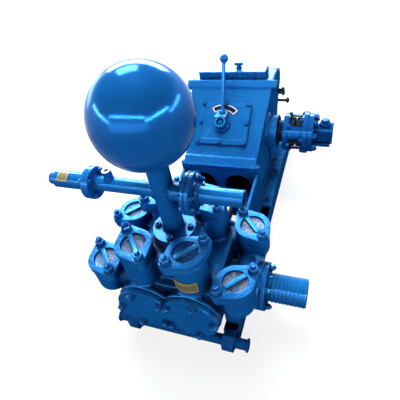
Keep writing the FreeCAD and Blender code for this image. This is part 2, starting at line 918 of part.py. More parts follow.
def make_lid():
    """The gearbox's top cover and its breather plug."""
    lid = box(
        "2 * lid_half_width", "casing_top_back - crown_y - 2 * lid_margin", "lid_thick",
        ("-lid_half_width", "crown_y + lid_margin", "crown_rise"),
    )
    finish("gearbox_lid", lid)
    stem = rod("plug_radius", "plug_rise", (0, 0, 0))
    bar = rod("plug_bar_radius", "2 * plug_bar_half", ("-plug_bar_half", 0, "plug_rise"), RIGHT)
    finish(
        "breather_plug", join(stem, bar),
        ("plug_side", "(crown_y + casing_top_back) / 2", "crown_rise + lid_thick"),
    )


def make_drive():
    """The input shaft's coupling, the housing round it, and the hydraulic motor."""
    centre = ("drive_back", "drive_rise")
    finish(
        "shaft_coupling",
        rod("coupling_radius", "bell_end - boss_end", ("boss_end", *centre), RIGHT),
    )
    ring = rod("adapter_radius", "adapter_thick", ("adapter_at", *centre), RIGHT)
    bell = rod("bell_radius", "bell_end - adapter_at", ("adapter_at", *centre), RIGHT)
    room = rod(
        "bell_radius - bell_wall", "bell_end - adapter_at + 2", ("adapter_at - 1", *centre), RIGHT,
    )
    windows = [make_bell_window(90 * number) for number in range(4)]
    finish("motor_housing", take(join(ring, bell), room, *windows))
    finish(
        "motor_flange",
        rod("motor_flange_radius", "motor_flange_end - bell_end", ("bell_end", *centre), RIGHT),
    )
    make_motor()


def make_bell_window(quarter):
    """The space of one window in the wall of the motor's housing."""
    angle = f"(window_turn + {quarter})"
    corners = []
    for sign, share in ((-1, 0.5), (1, 0.5), (1, 1.5), (-1, 1.5)):
        aside = f"{sign} * window_width / 2"
        away = f"{share} * bell_radius"
        corners.append((
            f"drive_back + {away} * sin{angle} + {aside} * cos{angle}",
            f"drive_rise + {away} * cos{angle} - {aside} * sin{angle}",
        ))
    start = "(adapter_at + adapter_thick + bell_end - window_length) / 2"
    return profile("YZ", corners, (start, 0, 0), "window_length")


def make_motor():
    """The gear motor: a body with round top and bottom between two plates, and its port cap."""
    def layer(margin, start, length):
        half = f"(motor_width / 2 + {margin})"
        rise = "(motor_height / 2 - motor_width / 2)"
        rounds = [
            rod(half, length, (start, "drive_back", f"drive_rise + {sign} * {rise}"), RIGHT)
            for sign in (-1, 1)
        ]
        middle = box(
            length, f"2 * {half}", f"2 * {rise}",
            (start, f"drive_back - {half}", f"drive_rise - {rise}"),
        )
        return join(middle, *rounds)

    plate_at = "motor_flange_end + motor_length - motor_plate_thick"
    foot = box(
        "motor_foot_length", "motor_width", "motor_foot_drop + motor_foot_root",
        (
            "motor_flange_end", "drive_back - motor_width / 2",
            "drive_rise - motor_height / 2 - motor_foot_drop",
        ),
    )
    gap = box(
        "motor_foot_length - motor_notch_at + 1", "motor_width + 2", "motor_foot_drop / 2",
        (
            "motor_flange_end + motor_notch_at", "drive_back - motor_width / 2 - 1",
            "drive_rise - motor_height / 2 - motor_foot_drop / 2",
        ),
    )
    body = join(
        layer(0, "motor_flange_end", "motor_length"),
        layer("motor_plate_margin", "motor_flange_end", "motor_plate_thick"),
        layer("motor_plate_margin", plate_at, "motor_plate_thick"),
    )
    finish("hydraulic_motor", join(body, take(foot, gap)))
    finish(
        "motor_port_cap",
        rod(
            "port_radius", "port_rise",
            (
                "motor_flange_end + motor_length / 2 + port_ahead", "drive_back",
                "drive_rise + motor_height / 2",
            ),
        ),
    )


def make_shaft_covers():
    """The round covers over the input shaft's far end and the crankshaft's bearings."""
    finish(
        "input_shaft_cover",
        rod(
            "end_cover_radius", "end_cover_thick",
            ("-blind_boss_end", "drive_back", "drive_rise"), LEFT,
        ),
    )
    for side, sign, turn in (("left", -1, LEFT), ("right", 1, RIGHT)):
        finish(
            f"crank_cover_{side}",
            rod(
                "crank_cover_radius", "end_cover_thick",
                (f"{sign} * crank_pad_end", "crank_back", "cylinder_rise"), turn,
            ),
        )


def make_model():
    """Builds every piece of the pump."""
    for side, sign in (("left", -1), ("right", 1)):
        make_rail(side, sign)
        make_cylinder_head(side, sign)
        make_gland(side, sign)
        make_piston_rod(side, sign)
        make_tie_plate(side, sign)
    make_cross_member("front_cross_member", 0)
    make_cross_member("middle_cross_member", "window_face + cross_depth")
    make_cross_member("rear_cross_member", "casing_back - cross_depth")
    make_tow_bar("front_tow_bar", "-rail_ahead - tow_reach")
    make_tow_bar("rear_tow_bar", "rail_behind + tow_reach")
    make_fluid_end()
    for kind in ("discharge", "suction"):
        for right in (-1, 1):
            for back in (-1, 1):
                make_valve_cover(kind, right, back)
    make_post()
    make_air_chamber()
    make_discharge_pipe()
    make_relief_branch()
    make_relief_valve()
    make_suction_side()
    make_gearbox()
    make_inspection_cover()
    make_shift()
    make_lid()
    make_drive()
    make_shaft_covers()


def write_parts():
    """Checks that every object was built, then writes each piece."""
    DOC.recompute()
    for item in DOC.Objects:
        if {"Invalid", "Error"} & set(item.State):
            raise RuntimeError(f"{item.Name} ({item.Label}) failed: {item.State}")
    for piece in PARTS:
        if piece.Shape.isNull() or not piece.Shape.isValid():
            raise RuntimeError(f"{piece.Label} has no valid shape")
    os.makedirs("parts", exist_ok=True)
    for piece in PARTS:
        piece.Shape.exportStep(f"parts/{piece.Label}.step")
    print(len(PARTS), "pieces written")


make_model()
write_parts()
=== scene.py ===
"""Looks of the piston mud pump: enamel, castings, covers, fasteners and grime on the frame."""
from __future__ import annotations

import logging
import math
from collections.abc import Callable, Sequence
from dataclasses import dataclass
from enum import Enum

import bmesh
import bpy
import numpy as np
from mathutils import Matrix, Vector

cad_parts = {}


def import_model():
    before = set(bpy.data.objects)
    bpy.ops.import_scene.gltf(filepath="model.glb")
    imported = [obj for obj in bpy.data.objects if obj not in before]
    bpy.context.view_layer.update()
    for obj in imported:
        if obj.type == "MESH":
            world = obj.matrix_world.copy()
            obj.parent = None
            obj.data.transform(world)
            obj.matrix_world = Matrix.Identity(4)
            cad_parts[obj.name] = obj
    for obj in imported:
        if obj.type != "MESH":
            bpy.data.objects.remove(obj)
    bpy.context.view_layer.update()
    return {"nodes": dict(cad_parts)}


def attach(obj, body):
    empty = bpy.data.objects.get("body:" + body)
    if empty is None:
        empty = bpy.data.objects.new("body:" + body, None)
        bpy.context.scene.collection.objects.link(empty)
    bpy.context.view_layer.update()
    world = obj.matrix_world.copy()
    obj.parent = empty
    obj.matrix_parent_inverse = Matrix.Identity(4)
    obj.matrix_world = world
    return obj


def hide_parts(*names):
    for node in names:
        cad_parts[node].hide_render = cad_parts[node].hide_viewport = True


LOG = logging.getLogger("mud_pump")
ROOT = "pump_frame"
LEVER = "shift_lever"
GROUP = "painted_surface"
GRIME = "grime"
SIDES = (("left", -1), ("right", 1))
MM = 0.001

Socket = bpy.types.NodeSocket
Array = np.ndarray
Triple = tuple[float, float, float]
Outline = Callable[[float], Array]
Line = Sequence[Sequence[float]]

X_AXIS: Triple = (1.0, 0.0, 0.0)
Y_AXIS: Triple = (0.0, 1.0, 0.0)
Z_AXIS: Triple = (0.0, 0.0, 1.0)
FRONT: Triple = (0.0, -1.0, 0.0)
LEFTWARD: Triple = (-1.0, 0.0, 0.0)
SLOPE = math.radians(38.0)
FACE_NORMAL: Triple = (0.0, -math.sin(SLOPE), math.cos(SLOPE))
LEDGE_BACK, LEDGE_RISE = 0.545, 0.404
CYLINDER_X, CYLINDER_RISE = 0.094, 0.276
# Fasteners start this far inside the face that they stand on, so that no gap shows.
SUNK = 0.0005
# Points closer than this are one, in a node's copy and in a new piece.
JOIN_COPY, JOIN_SKIN = 1e-5, 2e-6
# A bolt head's profile, as shares of its corner radius and of its height.
HEAD = np.array(((0.0, 0.0), (1.0, 0.0), (1.0, 0.84), (0.87, 1.0), (0.0, 1.0)))

WHITE: Triple = (1.0, 1.0, 1.0)
BLUE: Triple = (0.006, 0.105, 0.42)
PALE_BLUE: Triple = (0.012, 0.205, 0.60)
# The near-black blue that hollows and crevices are darkened towards: painted shade.
PAINTED_SHADE_BLUE: Triple = (0.0005, 0.006, 0.045)
DUST: Triple = (0.46, 0.40, 0.34)
PAINT, DARK, BRIGHT = "blue_paint", "dark_paint", "bright_steel"

# Each pattern has its blots to a metre, its finer layers, their strength, and the two levels
# that it is spread between.
PATTERNS = {
    "cloud": (6.0, 4.0, 0.5, 0.35, 0.7),
    "blot": (38.0, 8.0, 0.65, 0.5, 0.68),
    "speck": (170.0, 5.0, 0.6, 0.42, 0.72),
    "patch": (95.0, 6.0, 0.62, 0.38, 0.62),
    "chip": (60.0, 4.0, 0.5, 0.4, 0.62),
    "grit": (150.0, 4.0, 0.7, 0.42, 0.66),
}


def opaque(colour: Triple) -> tuple[float, float, float, float]:
    """The colour as a node socket takes it."""
    return (*colour, 1.0)


class Tree:
    """A thin writer for node trees: adds nodes, sets their inputs and joins them."""

    def __init__(self, tree: bpy.types.NodeTree) -> None:
        """Keeps the tree that the nodes go into."""
        self.tree = tree

    def add(self, kind: str, settings: dict | None = None, **inputs: object) -> bpy.types.Node:
        """Adds a node and fills its inputs.

        Args:
            kind: the node's type name.
            settings: the node's own properties by name.
            inputs: input values or sockets by name, with underscores for spaces.

        Returns:
            The new node.
        """
        node = self.tree.nodes.new(kind)
        for name, value in (settings or {}).items():
            setattr(node, name, value)
        self.fill(node, **inputs)
        return node

    def fill(self, node: bpy.types.Node, **inputs: object) -> None:
        """Fills a node's inputs, given by name with underscores for spaces."""
        for name, value in inputs.items():
            self.feed(node.inputs[name.replace("_", " ")], value)

    def feed(self, socket: Socket, value: object) -> None:
        """Joins a socket to another, or sets its value.

        Args:
            socket: the input to fill.
            value: an output socket, or a plain value.
        """
        if isinstance(value, bpy.types.NodeSocket):
            self.tree.links.new(value, socket)
        else:
            socket.default_value = value

    def maths(self, operation: str, *values: object, clamp: bool = False) -> Socket:
        """Works out one sum of several values, from the first to the last.

        Args:
            operation: the Math node's operation.
            values: the values or sockets, two or more.
            clamp: whether the result is held between nought and one.

        Returns:
            The result's socket.
        """
        total = values[0]
        for number, value in enumerate(values[1:], 2):
            held = clamp and number == len(values)
            node = self.add("ShaderNodeMath", {"operation": operation, "use_clamp": held})
            self.feed(node.inputs[0], total)
            self.feed(node.inputs[1], value)
            total = node.outputs[0]
        return total

    def times(self, *values: object, clamp: bool = False) -> Socket:
        """Multiplies values."""
        return self.maths("MULTIPLY", *values, clamp=clamp)

    def plus(self, *values: object, clamp: bool = False) -> Socket:
        """Adds values up."""
        return self.maths("ADD", *values, clamp=clamp)

    def height(self, vector: Socket) -> Socket:
        """The z part of a vector."""
        return self.add("ShaderNodeSeparateXYZ", None, Vector=vector).outputs["Z"]

    def openness(self, distance: float) -> Socket:
        """How open a point is to its surroundings within a distance."""
        node = self.add("ShaderNodeAmbientOcclusion", {"samples": 6}, Distance=distance)
        return node.outputs["AO"]

    def ramp(self, value: object, low: float, high: float) -> Socket:
        """Spreads a value smoothly, so that low becomes nought and high becomes one."""
        node = self.add("ShaderNodeMapRange", {"interpolation_type": "SMOOTHSTEP"},
                        Value=value, From_Min=low, From_Max=high)
        return node.outputs["Result"]

    def blend(self, share: object, first: object, second: object) -> Socket:
        """Mixes two colours.

        Args:
            share: how much of the second colour shows.
            first: the colour at nought.
            second: the colour at one.

        Returns:
            The mixed colour's socket.
        """
        node = self.add("ShaderNodeMix", {"data_type": "RGBA"})
        for number, value in ((0, share), (6, first), (7, second)):
            self.feed(node.inputs[number], value)
        return node.outputs[2]

    def noise(self, scale: float, detail: float = 3.0, rough: float = 0.5) -> Socket:
        """A cloud pattern fixed to the piece.

        Args:
            scale: how many blots there are to a metre.
            detail: how many finer layers it has.
            rough: how strong the finer layers are.

        Returns:
            The pattern's value.
        """
        place = self.add("ShaderNodeTexCoord").outputs["Object"]
        node = self.add("ShaderNodeTexNoise", None, Vector=place, Scale=scale, Detail=detail,
                        Roughness=rough)
        return node.outputs[0]

    def pattern(self, name: str) -> Socket:
        """One of the named patterns, spread over nought to one."""
        scale, detail, rough, low, high = PATTERNS[name]
        return self.ramp(self.noise(scale, detail, rough), low, high)


def make_paint_group() -> None:
    """Makes the look that every surface shares: colour, painted shade in hollows, painted light on
    tops and edges, orange peel, grain, dust and dirt, and rubbed edges.

    Its outputs are Colour, Roughness, Height in metres, and Gleam, which takes the shine off faces
    that turn sideways or down, in hollows and near the ground: painted shade on their reflections.
    """
    group = bpy.data.node_groups.new(GROUP, "ShaderNodeTree")
    colours = ("Base", "Pale", "Worn", "Colour")
    amounts = ("Dust Amount", "Wear Amount", "Gloss Roughness", "Peel Height", "Grain Height")
    for way, names in (("INPUT", colours[:3] + amounts),
                       ("OUTPUT", ("Colour", "Roughness", "Height", "Gleam"))):
        for name in names:
            kind = "NodeSocketColor" if name in colours else "NodeSocketFloat"
            group.interface.new_socket(name, in_out=way, socket_type=kind)
    tree = Tree(group)
    given = tree.add("NodeGroupInput").outputs
    shape = tree.add("ShaderNodeNewGeometry").outputs
    grime = tree.add("ShaderNodeAttribute", {"attribute_name": GRIME}).outputs["Fac"]
    upward, level = tree.height(shape["Normal"]), tree.height(shape["Position"])
    crevice = tree.ramp(tree.openness(0.04), 0.72, 0.3)
    hollow = tree.ramp(tree.openness(0.14), 0.82, 0.33)
    low = tree.ramp(level, 0.24, 0.12)
    speck = tree.pattern("speck")

    packed = tree.times(crevice, tree.ramp(upward, -0.1, 0.75))
    share = tree.plus(0.4, tree.times(low, 1.5))
    settled = tree.times(tree.ramp(upward, 0.55, 0.97), tree.pattern("blot"), share)
    spread = tree.plus(0.35, tree.times(speck, 0.9))
    loose = tree.times(tree.plus(settled, packed), spread, given["Dust Amount"], clamp=True)
    sandy = tree.plus(0.12, tree.times(tree.pattern("patch"), 0.88))
    dust = tree.maths("MAXIMUM", loose, tree.times(grime, sandy, clamp=True))
    # Rubbed paint and painted highlight: sharp convex edges, broken by the chip pattern, turn to a
    # lighter edge colour that stands for both rubbed paint and bright edge glints.
    corner = tree.ramp(shape["Pointiness"], 0.54, 0.62)
    wear_and_highlight = tree.times(corner, tree.pattern("chip"), given["Wear Amount"], clamp=True)

    # Painted light and tone: the paler colour shows more on faces that turn up, as if lit from
    # above, and at random through the cloud and grit patterns.
    tone_and_top_light = tree.plus(tree.times(tree.ramp(upward, 0.2, 1.0), 0.55),
                      tree.times(tree.pattern("cloud"), 0.3),
                      tree.times(tree.pattern("grit"), 0.45), clamp=True)
    # Painted shade: the colour darkens towards a near-black blue in hollows and crevices, where
    # shade would fall.
    painted_shade = tree.times(tree.maths("MAXIMUM", hollow, tree.times(crevice, 0.75)), 0.9)
    colour = tree.blend(tone_and_top_light, given["Base"], given["Pale"])
    colour = tree.blend(painted_shade, colour, opaque(PAINTED_SHADE_BLUE))
    colour = tree.blend(wear_and_highlight, colour, given["Worn"])
    colour = tree.blend(dust, colour, opaque(DUST))

    # Painted shade on reflections: shine is kept on faces that turn up and taken off faces that
    # turn sideways or down, in hollows and near the ground.
    gleam = tree.maths("SUBTRACT", tree.ramp(upward, 0.05, 0.55),
                       tree.plus(tree.times(hollow, 0.6), low), clamp=True)
    gloss = tree.plus(given["Gloss Roughness"], tree.times(tree.noise(18.0), 0.1))
    rough = tree.maths("MAXIMUM", gloss, tree.times(dust, 0.95))
    peel = tree.times(tree.noise(210.0, 2.0), given["Peel Height"])
    grain = tree.times(tree.noise(480.0, 5.0, 0.62), given["Grain Height"])
    lumps = tree.times(tree.noise(90.0), given["Grain Height"], 5.0)
    bumps = tree.plus(peel, grain, lumps, tree.times(dust, speck, 0.0012))
    tree.add("NodeGroupOutput", None, Colour=colour, Roughness=rough, Height=bumps, Gleam=gleam)


@dataclass(frozen=True)
class Coating:
    """What covers a piece: enamel over steel, or bare metal."""

    name: str
    slot: str
    base: Triple
    pale: Triple
    dust: float
    # How strongly sharp edges lighten: partly rubbed paint, partly painted highlight.
    wear_and_highlight_amount: float
    roughness: float
    metal: float = 0.3
    specular: float = 0.4
    peel: float = 0.00005
    grain: float = 0.0
    # The lighter edge colour: partly rubbed paint, partly painted highlight.
    wear_and_highlight: Triple = (0.09, 0.46, 0.85)
    tint: Triple = (0.15, 0.6, 1.0)
    # The share of shine that every face keeps, whichever way it turns.
    shade: float = 0.0

    def make(self) -> bpy.types.Material:
        """Builds the material.

        Returns:
            The new material.
        """
        material = bpy.data.materials.new(self.name)
        material.use_nodes = True
        tree = Tree(material.node_tree)
        shader = material.node_tree.nodes["Principled BSDF"]
        look = tree.add(
            "ShaderNodeGroup", {"node_tree": bpy.data.node_groups[GROUP]}, Base=opaque(self.base),
            Pale=opaque(self.pale), Worn=opaque(self.wear_and_highlight), Dust_Amount=self.dust,
            Wear_Amount=self.wear_and_highlight_amount, Gloss_Roughness=self.roughness, Peel_Height=self.peel,
            Grain_Height=self.grain).outputs
        bump = tree.add("ShaderNodeBump", None, Strength=1.0, Distance=1.0, Height=look["Height"])
        tree.fill(shader, Base_Color=look["Colour"], Roughness=look["Roughness"],
                  Normal=bump.outputs["Normal"], Metallic=self.metal,
                  Specular_IOR_Level=self.specular, Specular_Tint=opaque(self.tint))
        if self.shade < 1.0:
            gleam = tree.plus(self.shade, tree.times(look["Gleam"], 1.0 - self.shade))
            tree.fill(shader, Metallic=tree.times(gleam, self.metal),
                      Specular_IOR_Level=tree.times(gleam, self.specular))
        return material


class Finish(Enum):
    """The coats and bare surfaces that the pump has."""

    PLATE = Coating("blue_plate", PAINT, BLUE, PALE_BLUE, 0.08, 0.45, 0.19, peel=0.0003)
    PIPE = Coating("blue_pipe", PAINT, BLUE, PALE_BLUE, 0.04, 0.0, 0.12, 0.25, 0.24,
                   peel=0.00008, tint=(0.4, 0.72, 1.0))
    CASTING = Coating("blue_casting", PAINT, BLUE, PALE_BLUE, 0.14, 0.4, 0.17, 0.3, 0.45,
                      peel=0.00028, grain=0.00045)
    CHAMBER = Coating("blue_chamber", PAINT, BLUE, (0.008, 0.15, 0.50), 0.0, 0.0, 0.1, 0.38, 0.22,
                      peel=0.00012, tint=(0.25, 0.7, 1.0), shade=0.12)
    BOLT = Coating("blue_bolt", PAINT, (0.005, 0.085, 0.36), (0.01, 0.18, 0.56), 0.05, 0.12, 0.14,
                   0.3, 0.5, tint=(0.35, 0.72, 1.0))
    DRIVE = Coating("blue_drive", PAINT, (0.004, 0.062, 0.30), (0.007, 0.13, 0.46), 0.03, 0.2, 0.13)
    # Lighter blue than the other paint, with strongly lightened edges: a painted highlight on the
    # cover bars and the shift fork, together with rubbed paint on their edges.
    BAR = Coating("bar_highlight_and_wear", PAINT, (0.006, 0.19, 0.56), (0.02, 0.28, 0.68), 0.1, 0.8, 0.2,
                  0.3, 0.5, wear_and_highlight=(0.3, 0.6, 0.85))
    # Darker blue than the other paint, with little shine: painted shade on the skid, which lies low
    # under the pump.
    FRAME = Coating("blue_frame", PAINT, (0.005, 0.08, 0.34), (0.007, 0.13, 0.46), 0.06, 0.25, 0.28,
                    0.08, 0.06)
    BLACK = Coating("black_paint", DARK, (0.004, 0.008, 0.018), (0.008, 0.016, 0.034), 0.0, 0.25,
                    0.35, 0.0, 0.1, wear_and_highlight=(0.06, 0.08, 0.12), tint=WHITE, shade=1.0)
    STEEL = Coating("bare_rod", BRIGHT, (0.35, 0.36, 0.38), (0.5, 0.51, 0.52), 0.1, 0.1, 0.2,
                    1.0, 0.5, wear_and_highlight=(0.6, 0.6, 0.6), tint=WHITE, shade=1.0)
    BRASS = Coating("brass_rim", BRIGHT, (0.58, 0.50, 0.08), (0.72, 0.64, 0.14), 0.1, 0.3, 0.4,
                    0.0, 0.3, wear_and_highlight=(0.8, 0.76, 0.6), tint=WHITE, shade=1.0)
    ETCHED = Coating("bronze_field", BRIGHT, (0.10, 0.085, 0.04), (0.30, 0.24, 0.12), 0.3, 0.4,
                     0.45, 0.0, 0.3, wear_and_highlight=(0.5, 0.44, 0.26), tint=WHITE, shade=1.0)
    PALE = Coating("pale_face", BRIGHT, (0.75, 0.77, 0.80), (0.85, 0.86, 0.88), 0.1, 0.0, 0.4,
                   0.0, 0.3, wear_and_highlight=(0.9, 0.9, 0.9), tint=WHITE, shade=1.0)


def linked(name: str, data: bpy.types.ID) -> bpy.types.Object:
    """Puts a new object into the scene.

    Args:
        name: the object's name.
        data: its mesh, lamp or camera.

    Returns:
        The object.
    """
    thing = bpy.data.objects.new(name, data)
    bpy.context.scene.collection.objects.link(thing)
    return thing


def settled(scratch: bpy.types.Object) -> bpy.types.Mesh:
    """Applies a scratch object's modifiers and removes it.

    Args:
        scratch: the object whose modifiers are applied.

    Returns:
        The finished mesh.
    """
    graph = bpy.context.evaluated_depsgraph_get()
    mesh = bpy.data.meshes.new_from_object(scratch.evaluated_get(graph))
    bpy.data.objects.remove(scratch)
    return mesh


def modify(scratch: bpy.types.Object, kind: str, **settings: object) -> None:
    """Gives an object a modifier.

    Args:
        scratch: the object.
        kind: the modifier's type.
        settings: the modifier's properties by name.
    """
    modifier = scratch.modifiers.new(kind, kind)
    for name, value in settings.items():
        setattr(modifier, name, value)


class Workshop:
    """Paints pieces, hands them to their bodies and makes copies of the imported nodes."""

    def __init__(self, nodes: dict[str, bpy.types.Object]) -> None:
        """Makes every finish and paints the nodes.

        Args:
            nodes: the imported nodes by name.
        """
        make_paint_group()
        self.nodes = nodes
        self.materials = {finish: finish.value.make() for finish in Finish}
        for node in nodes.values():
            self.coat(node, Finish.PLATE)

    def coat(self, piece: bpy.types.Object, finish: Finish) -> None:
        """Paints a piece with one finish."""
        piece.data.materials.clear()
        piece.data.materials.append(self.materials[finish])

    def place(self, mesh: bpy.types.Mesh, name: str, finish: Finish, nodes: Sequence[str] = (),
              body: str = ROOT, grime: Callable[[Array], Array] | None = None,
              crease: float = 34.0) -> None:
        """Shades a mesh, paints it and hands it to its body.

        Args:
            mesh: the piece's mesh, in the pump's axes.
            name: the piece's name.
            finish: the piece's finish.
            nodes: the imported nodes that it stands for.
            body: the body that carries it.
            grime: gives each point's dirt from its place.
            crease: the angle in degrees past which an edge is sharp.
        """
        mesh.polygons.foreach_set("use_smooth", np.ones(len(mesh.polygons), bool))
        mesh.set_sharp_from_angle(angle=math.radians(crease))
        scratch = linked(f"{name}_scratch", mesh)
        modify(scratch, "WEIGHTED_NORMAL", mode="FACE_AREA", keep_sharp=True)
        mesh = settled(scratch)
        mesh.name = name
        if grime is not None:
            flat = np.empty(len(mesh.vertices) * 3, np.float32)
            mesh.vertices.foreach_get("co", flat)
            layer = mesh.attributes.new(GRIME, "FLOAT", "POINT")
            layer.data.foreach_set("value", grime(flat.reshape(-1, 3)).astype(np.float32))
        piece = linked(name, mesh)
        self.coat(piece, finish)
        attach(piece, body)
        if nodes:
            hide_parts(*nodes)
        LOG.info("%s: %d faces", name, len(mesh.polygons))

    def copy(self, name: str) -> bpy.types.Object:
        """Copies a node's mesh with its loose triangles joined and its flat faces whole.

        Args:
            name: the node's name.

        Returns:
            A scratch object that holds the copy.
        """
        mesh = self.nodes[name].data.copy()
        mesh.materials.clear()
        work = bmesh.new()
        work.from_mesh(mesh)
        bmesh.ops.remove_doubles(work, verts=work.verts, dist=JOIN_COPY)
        bmesh.ops.dissolve_limit(work, angle_limit=math.radians(0.4), verts=work.verts,
                                 edges=work.edges)
        work.to_mesh(mesh)
        work.free()
        return linked(f"{name}_scratch", mesh)

    def soften(self, name: str, finish: Finish, width: float) -> None:
        """Stands for a node with a copy whose sharp edges are rounded a little.

        Args:
            name: the node's name.
            finish: the copy's finish.
            width: how wide the rounding is.
        """
        scratch = self.copy(name)
        modify(scratch, "BEVEL", width=width, segments=2, limit_method="ANGLE",
               angle_limit=math.radians(32.0), use_clamp_overlap=True)
        self.place(settled(scratch), f"{name}_edged", finish, (name,), crease=30.0)

    def cast(self, name: str, voxel: float, keep: float) -> None:
        """Stands for a node with a copy that is rounded all over, as a sand casting is.

        Args:
            name: the node's name.
            voxel: the size of the cubes that the copy is rebuilt from.
            keep: the share of its faces that stay.
        """
        scratch = self.copy(name)
        modify(scratch, "REMESH", mode="VOXEL", voxel_size=voxel)
        modify(scratch, "SMOOTH", factor=0.5, iterations=5)
        modify(scratch, "DECIMATE", ratio=keep)
        self.place(settled(scratch), f"{name}_cast", Finish.CASTING, (name,), crease=180.0)


@dataclass(frozen=True)
class Seat:
    """A point of the pump with the direction that a part stands off it."""

    place: Triple
    axis: Triple = Z_AXIS
    turn: float = 0.0

    def basis(self) -> Array:
        """The three unit vectors across, beside and along the axis.

        Returns:
            Rows: two vectors at right angles to the axis, turned about it, then the axis.
        """
        along = np.array(self.axis, float)
        along /= np.linalg.norm(along)
        across = np.cross(Y_AXIS, along) if abs(along[1]) < 0.9 else np.array(X_AXIS)
        if abs(along[0]) > 0.9:
            across = np.array(Y_AXIS)
        across = across / np.linalg.norm(across)
        beside = np.cross(along, across)
        angle = math.radians(self.turn)
        first = math.cos(angle) * across + math.sin(angle) * beside
        return np.array((first, np.cross(along, first), along))

    def carry(self, points: Array) -> Array:
        """Moves points from the seat's own axes to the pump's: place plus each part's vector."""
        return np.array(self.place) + points @ self.basis()

    def moved(self, x: float, y: float, z: float, turn: float = 0.0) -> Seat:
        """The seat after a move along its own axes and a further turn."""
        return Seat(tuple(self.carry(np.array((x, y, z)))), self.axis, self.turn + turn)


def mm(text: str) -> Array:
    """Reads points given in millimetres, such as "0,0 56,0 56,26", as metres."""
    return np.array([pair.split(",") for pair in text.split()], float) * MM


def raised(flat: Array, height: float) -> Array:
    """Gives flat points a height."""
    return np.concatenate((flat, np.full((len(flat), 1), height)), 1)


def eased(corners: Line, radius: float, closed: bool = False, steps: int = 4) -> Array:
    """Rounds the corners of a line of points.

    Each corner P gives way to the parabola (1-t)^2 A + 2t(1-t) P + t^2 B, where A and B lie a
    radius away from P along its two sides, or less where a side is short.

    Args:
        corners: the corners in order.
        radius: how far the rounding reaches from each corner.
        closed: whether the last corner joins the first.
        steps: how many points each rounding has.

    Returns:
        The rounded line's points.
    """
    points = np.array(corners, float)

    def side(step: int) -> Array:
        way = np.roll(points, step, 0) - points
        reach = np.linalg.norm(way, axis=1, keepdims=True)
        return points + way * np.minimum(radius / np.maximum(reach, 1e-9), 0.5)

    t = np.linspace(0.0, 1.0, steps)[None, :, None]
    curve = (1 - t) ** 2 * side(1)[:, None] + 2 * t * (1 - t) * points[:, None]
    curve = curve + t**2 * side(-1)[:, None]
    if closed:
        return curve.reshape(-1, points.shape[1])
    inner = curve[1:-1].reshape(-1, points.shape[1])
    return np.concatenate((points[:1], inner, points[-1:]))


def circle(radius: float, count: int = 64) -> Array:
    """Points of a circle, (r cos a, r sin a) for even steps of a."""
    angle = np.linspace(0.0, 2 * np.pi, count, endpoint=False)
    return radius * np.stack((np.cos(angle), np.sin(angle)), 1)


def disc(radius: float, thick: float, ease: float) -> Array:
    """The profile of a round plate with eased edges."""
    return eased(((0.0, 0.0), (radius, 0.0), (radius, thick), (0.0, thick)), ease)


def stepped(radius: float, thick: float, step: float, wide: float, narrow: float) -> Array:
    """The profile of a round cover whose middle rises a step, between two shares of its radius."""
    low = thick - step
    return np.array(((0.0, 0.0), (radius, 0.0), (radius, low), (radius * wide, low),
                     (radius * narrow, thick), (0.0, thick)))


def spaced(corners: Array, count: int) -> Array:
    """Spreads points evenly round a closed loop.

    Each point lies at its share of the loop's whole length, between the two corners round it.

    Args:
        corners: the loop's corners.
        count: how many points the result has.

    Returns:
        The evenly spread points.
    """
    loop = np.concatenate((corners, corners[:1]))
    steps = np.linalg.norm(np.diff(loop, axis=0), axis=1)
    travelled = np.concatenate(((0.0,), np.cumsum(steps)))
    stops = np.linspace(0.0, travelled[-1], count, endpoint=False)
    return np.stack([np.interp(stops, travelled, column) for column in loop.T], 1)


def lobed(reach: float, wide: float, narrow: float) -> Outline:
    """The outline of a round plate with a smaller round lobe on each side.

    For each outward direction a, the point is the centre of whichever circle reaches furthest
    that way, plus that circle's radius times (cos a, sin a), which is the hull of the circles.

    Args:
        reach: how far each lobe's centre lies from the middle.
        wide: the middle circle's radius.
        narrow: a lobe's radius.

    Returns:
        A function that gives the outline drawn in by a distance.
    """
    def outline(inset: float) -> Array:
        angle = np.linspace(0.0, 2 * np.pi, 120, endpoint=False) + 1e-4
        way = np.stack((np.cos(angle), np.sin(angle)), 1)
        lobe = narrow + reach * np.abs(way[:, 0]) > wide
        centre = np.where(lobe, np.sign(way[:, 0]) * reach, 0.0)
        radius = np.where(lobe, narrow, wide) - inset
        return np.stack((centre, np.zeros(len(angle))), 1) + radius[:, None] * way
    return outline


def twin_disc(apart: float, radius: float) -> Outline:
    """The figure-of-eight outline of two equal discs that overlap.

    Each disc keeps the arc that lies outside the other, from the angle whose cosine is half the
    distance between the centres over the radius.

    Args:
        apart: half the distance between the centres.
        radius: the discs' radius.

    Returns:
        A function that gives the outline drawn in by a distance.
    """
    def outline(inset: float) -> Array:
        small = radius - inset
        meet = math.pi - math.acos(apart / small)
        angle = np.linspace(-meet, meet, 96)
        right = np.stack((apart + small * np.cos(angle), small * np.sin(angle)), 1)
        return np.concatenate((right, -right))
    return outline


def oblong(half_x: float, half_y: float, corner: float) -> Outline:
    """The outline of a rectangle with round corners.

    Args:
        half_x: half of its width.
        half_y: half of its height.
        corner: its corners' radius.

    Returns:
        A function that gives the outline drawn in by a distance.
    """
    def outline(inset: float) -> Array:
        x, y = half_x - inset, half_y - inset
        corners = ((x, -y), (x, y), (-x, y), (-x, -y))
        return eased(corners, max(corner - inset, 0.0008), closed=True, steps=7)
    return outline


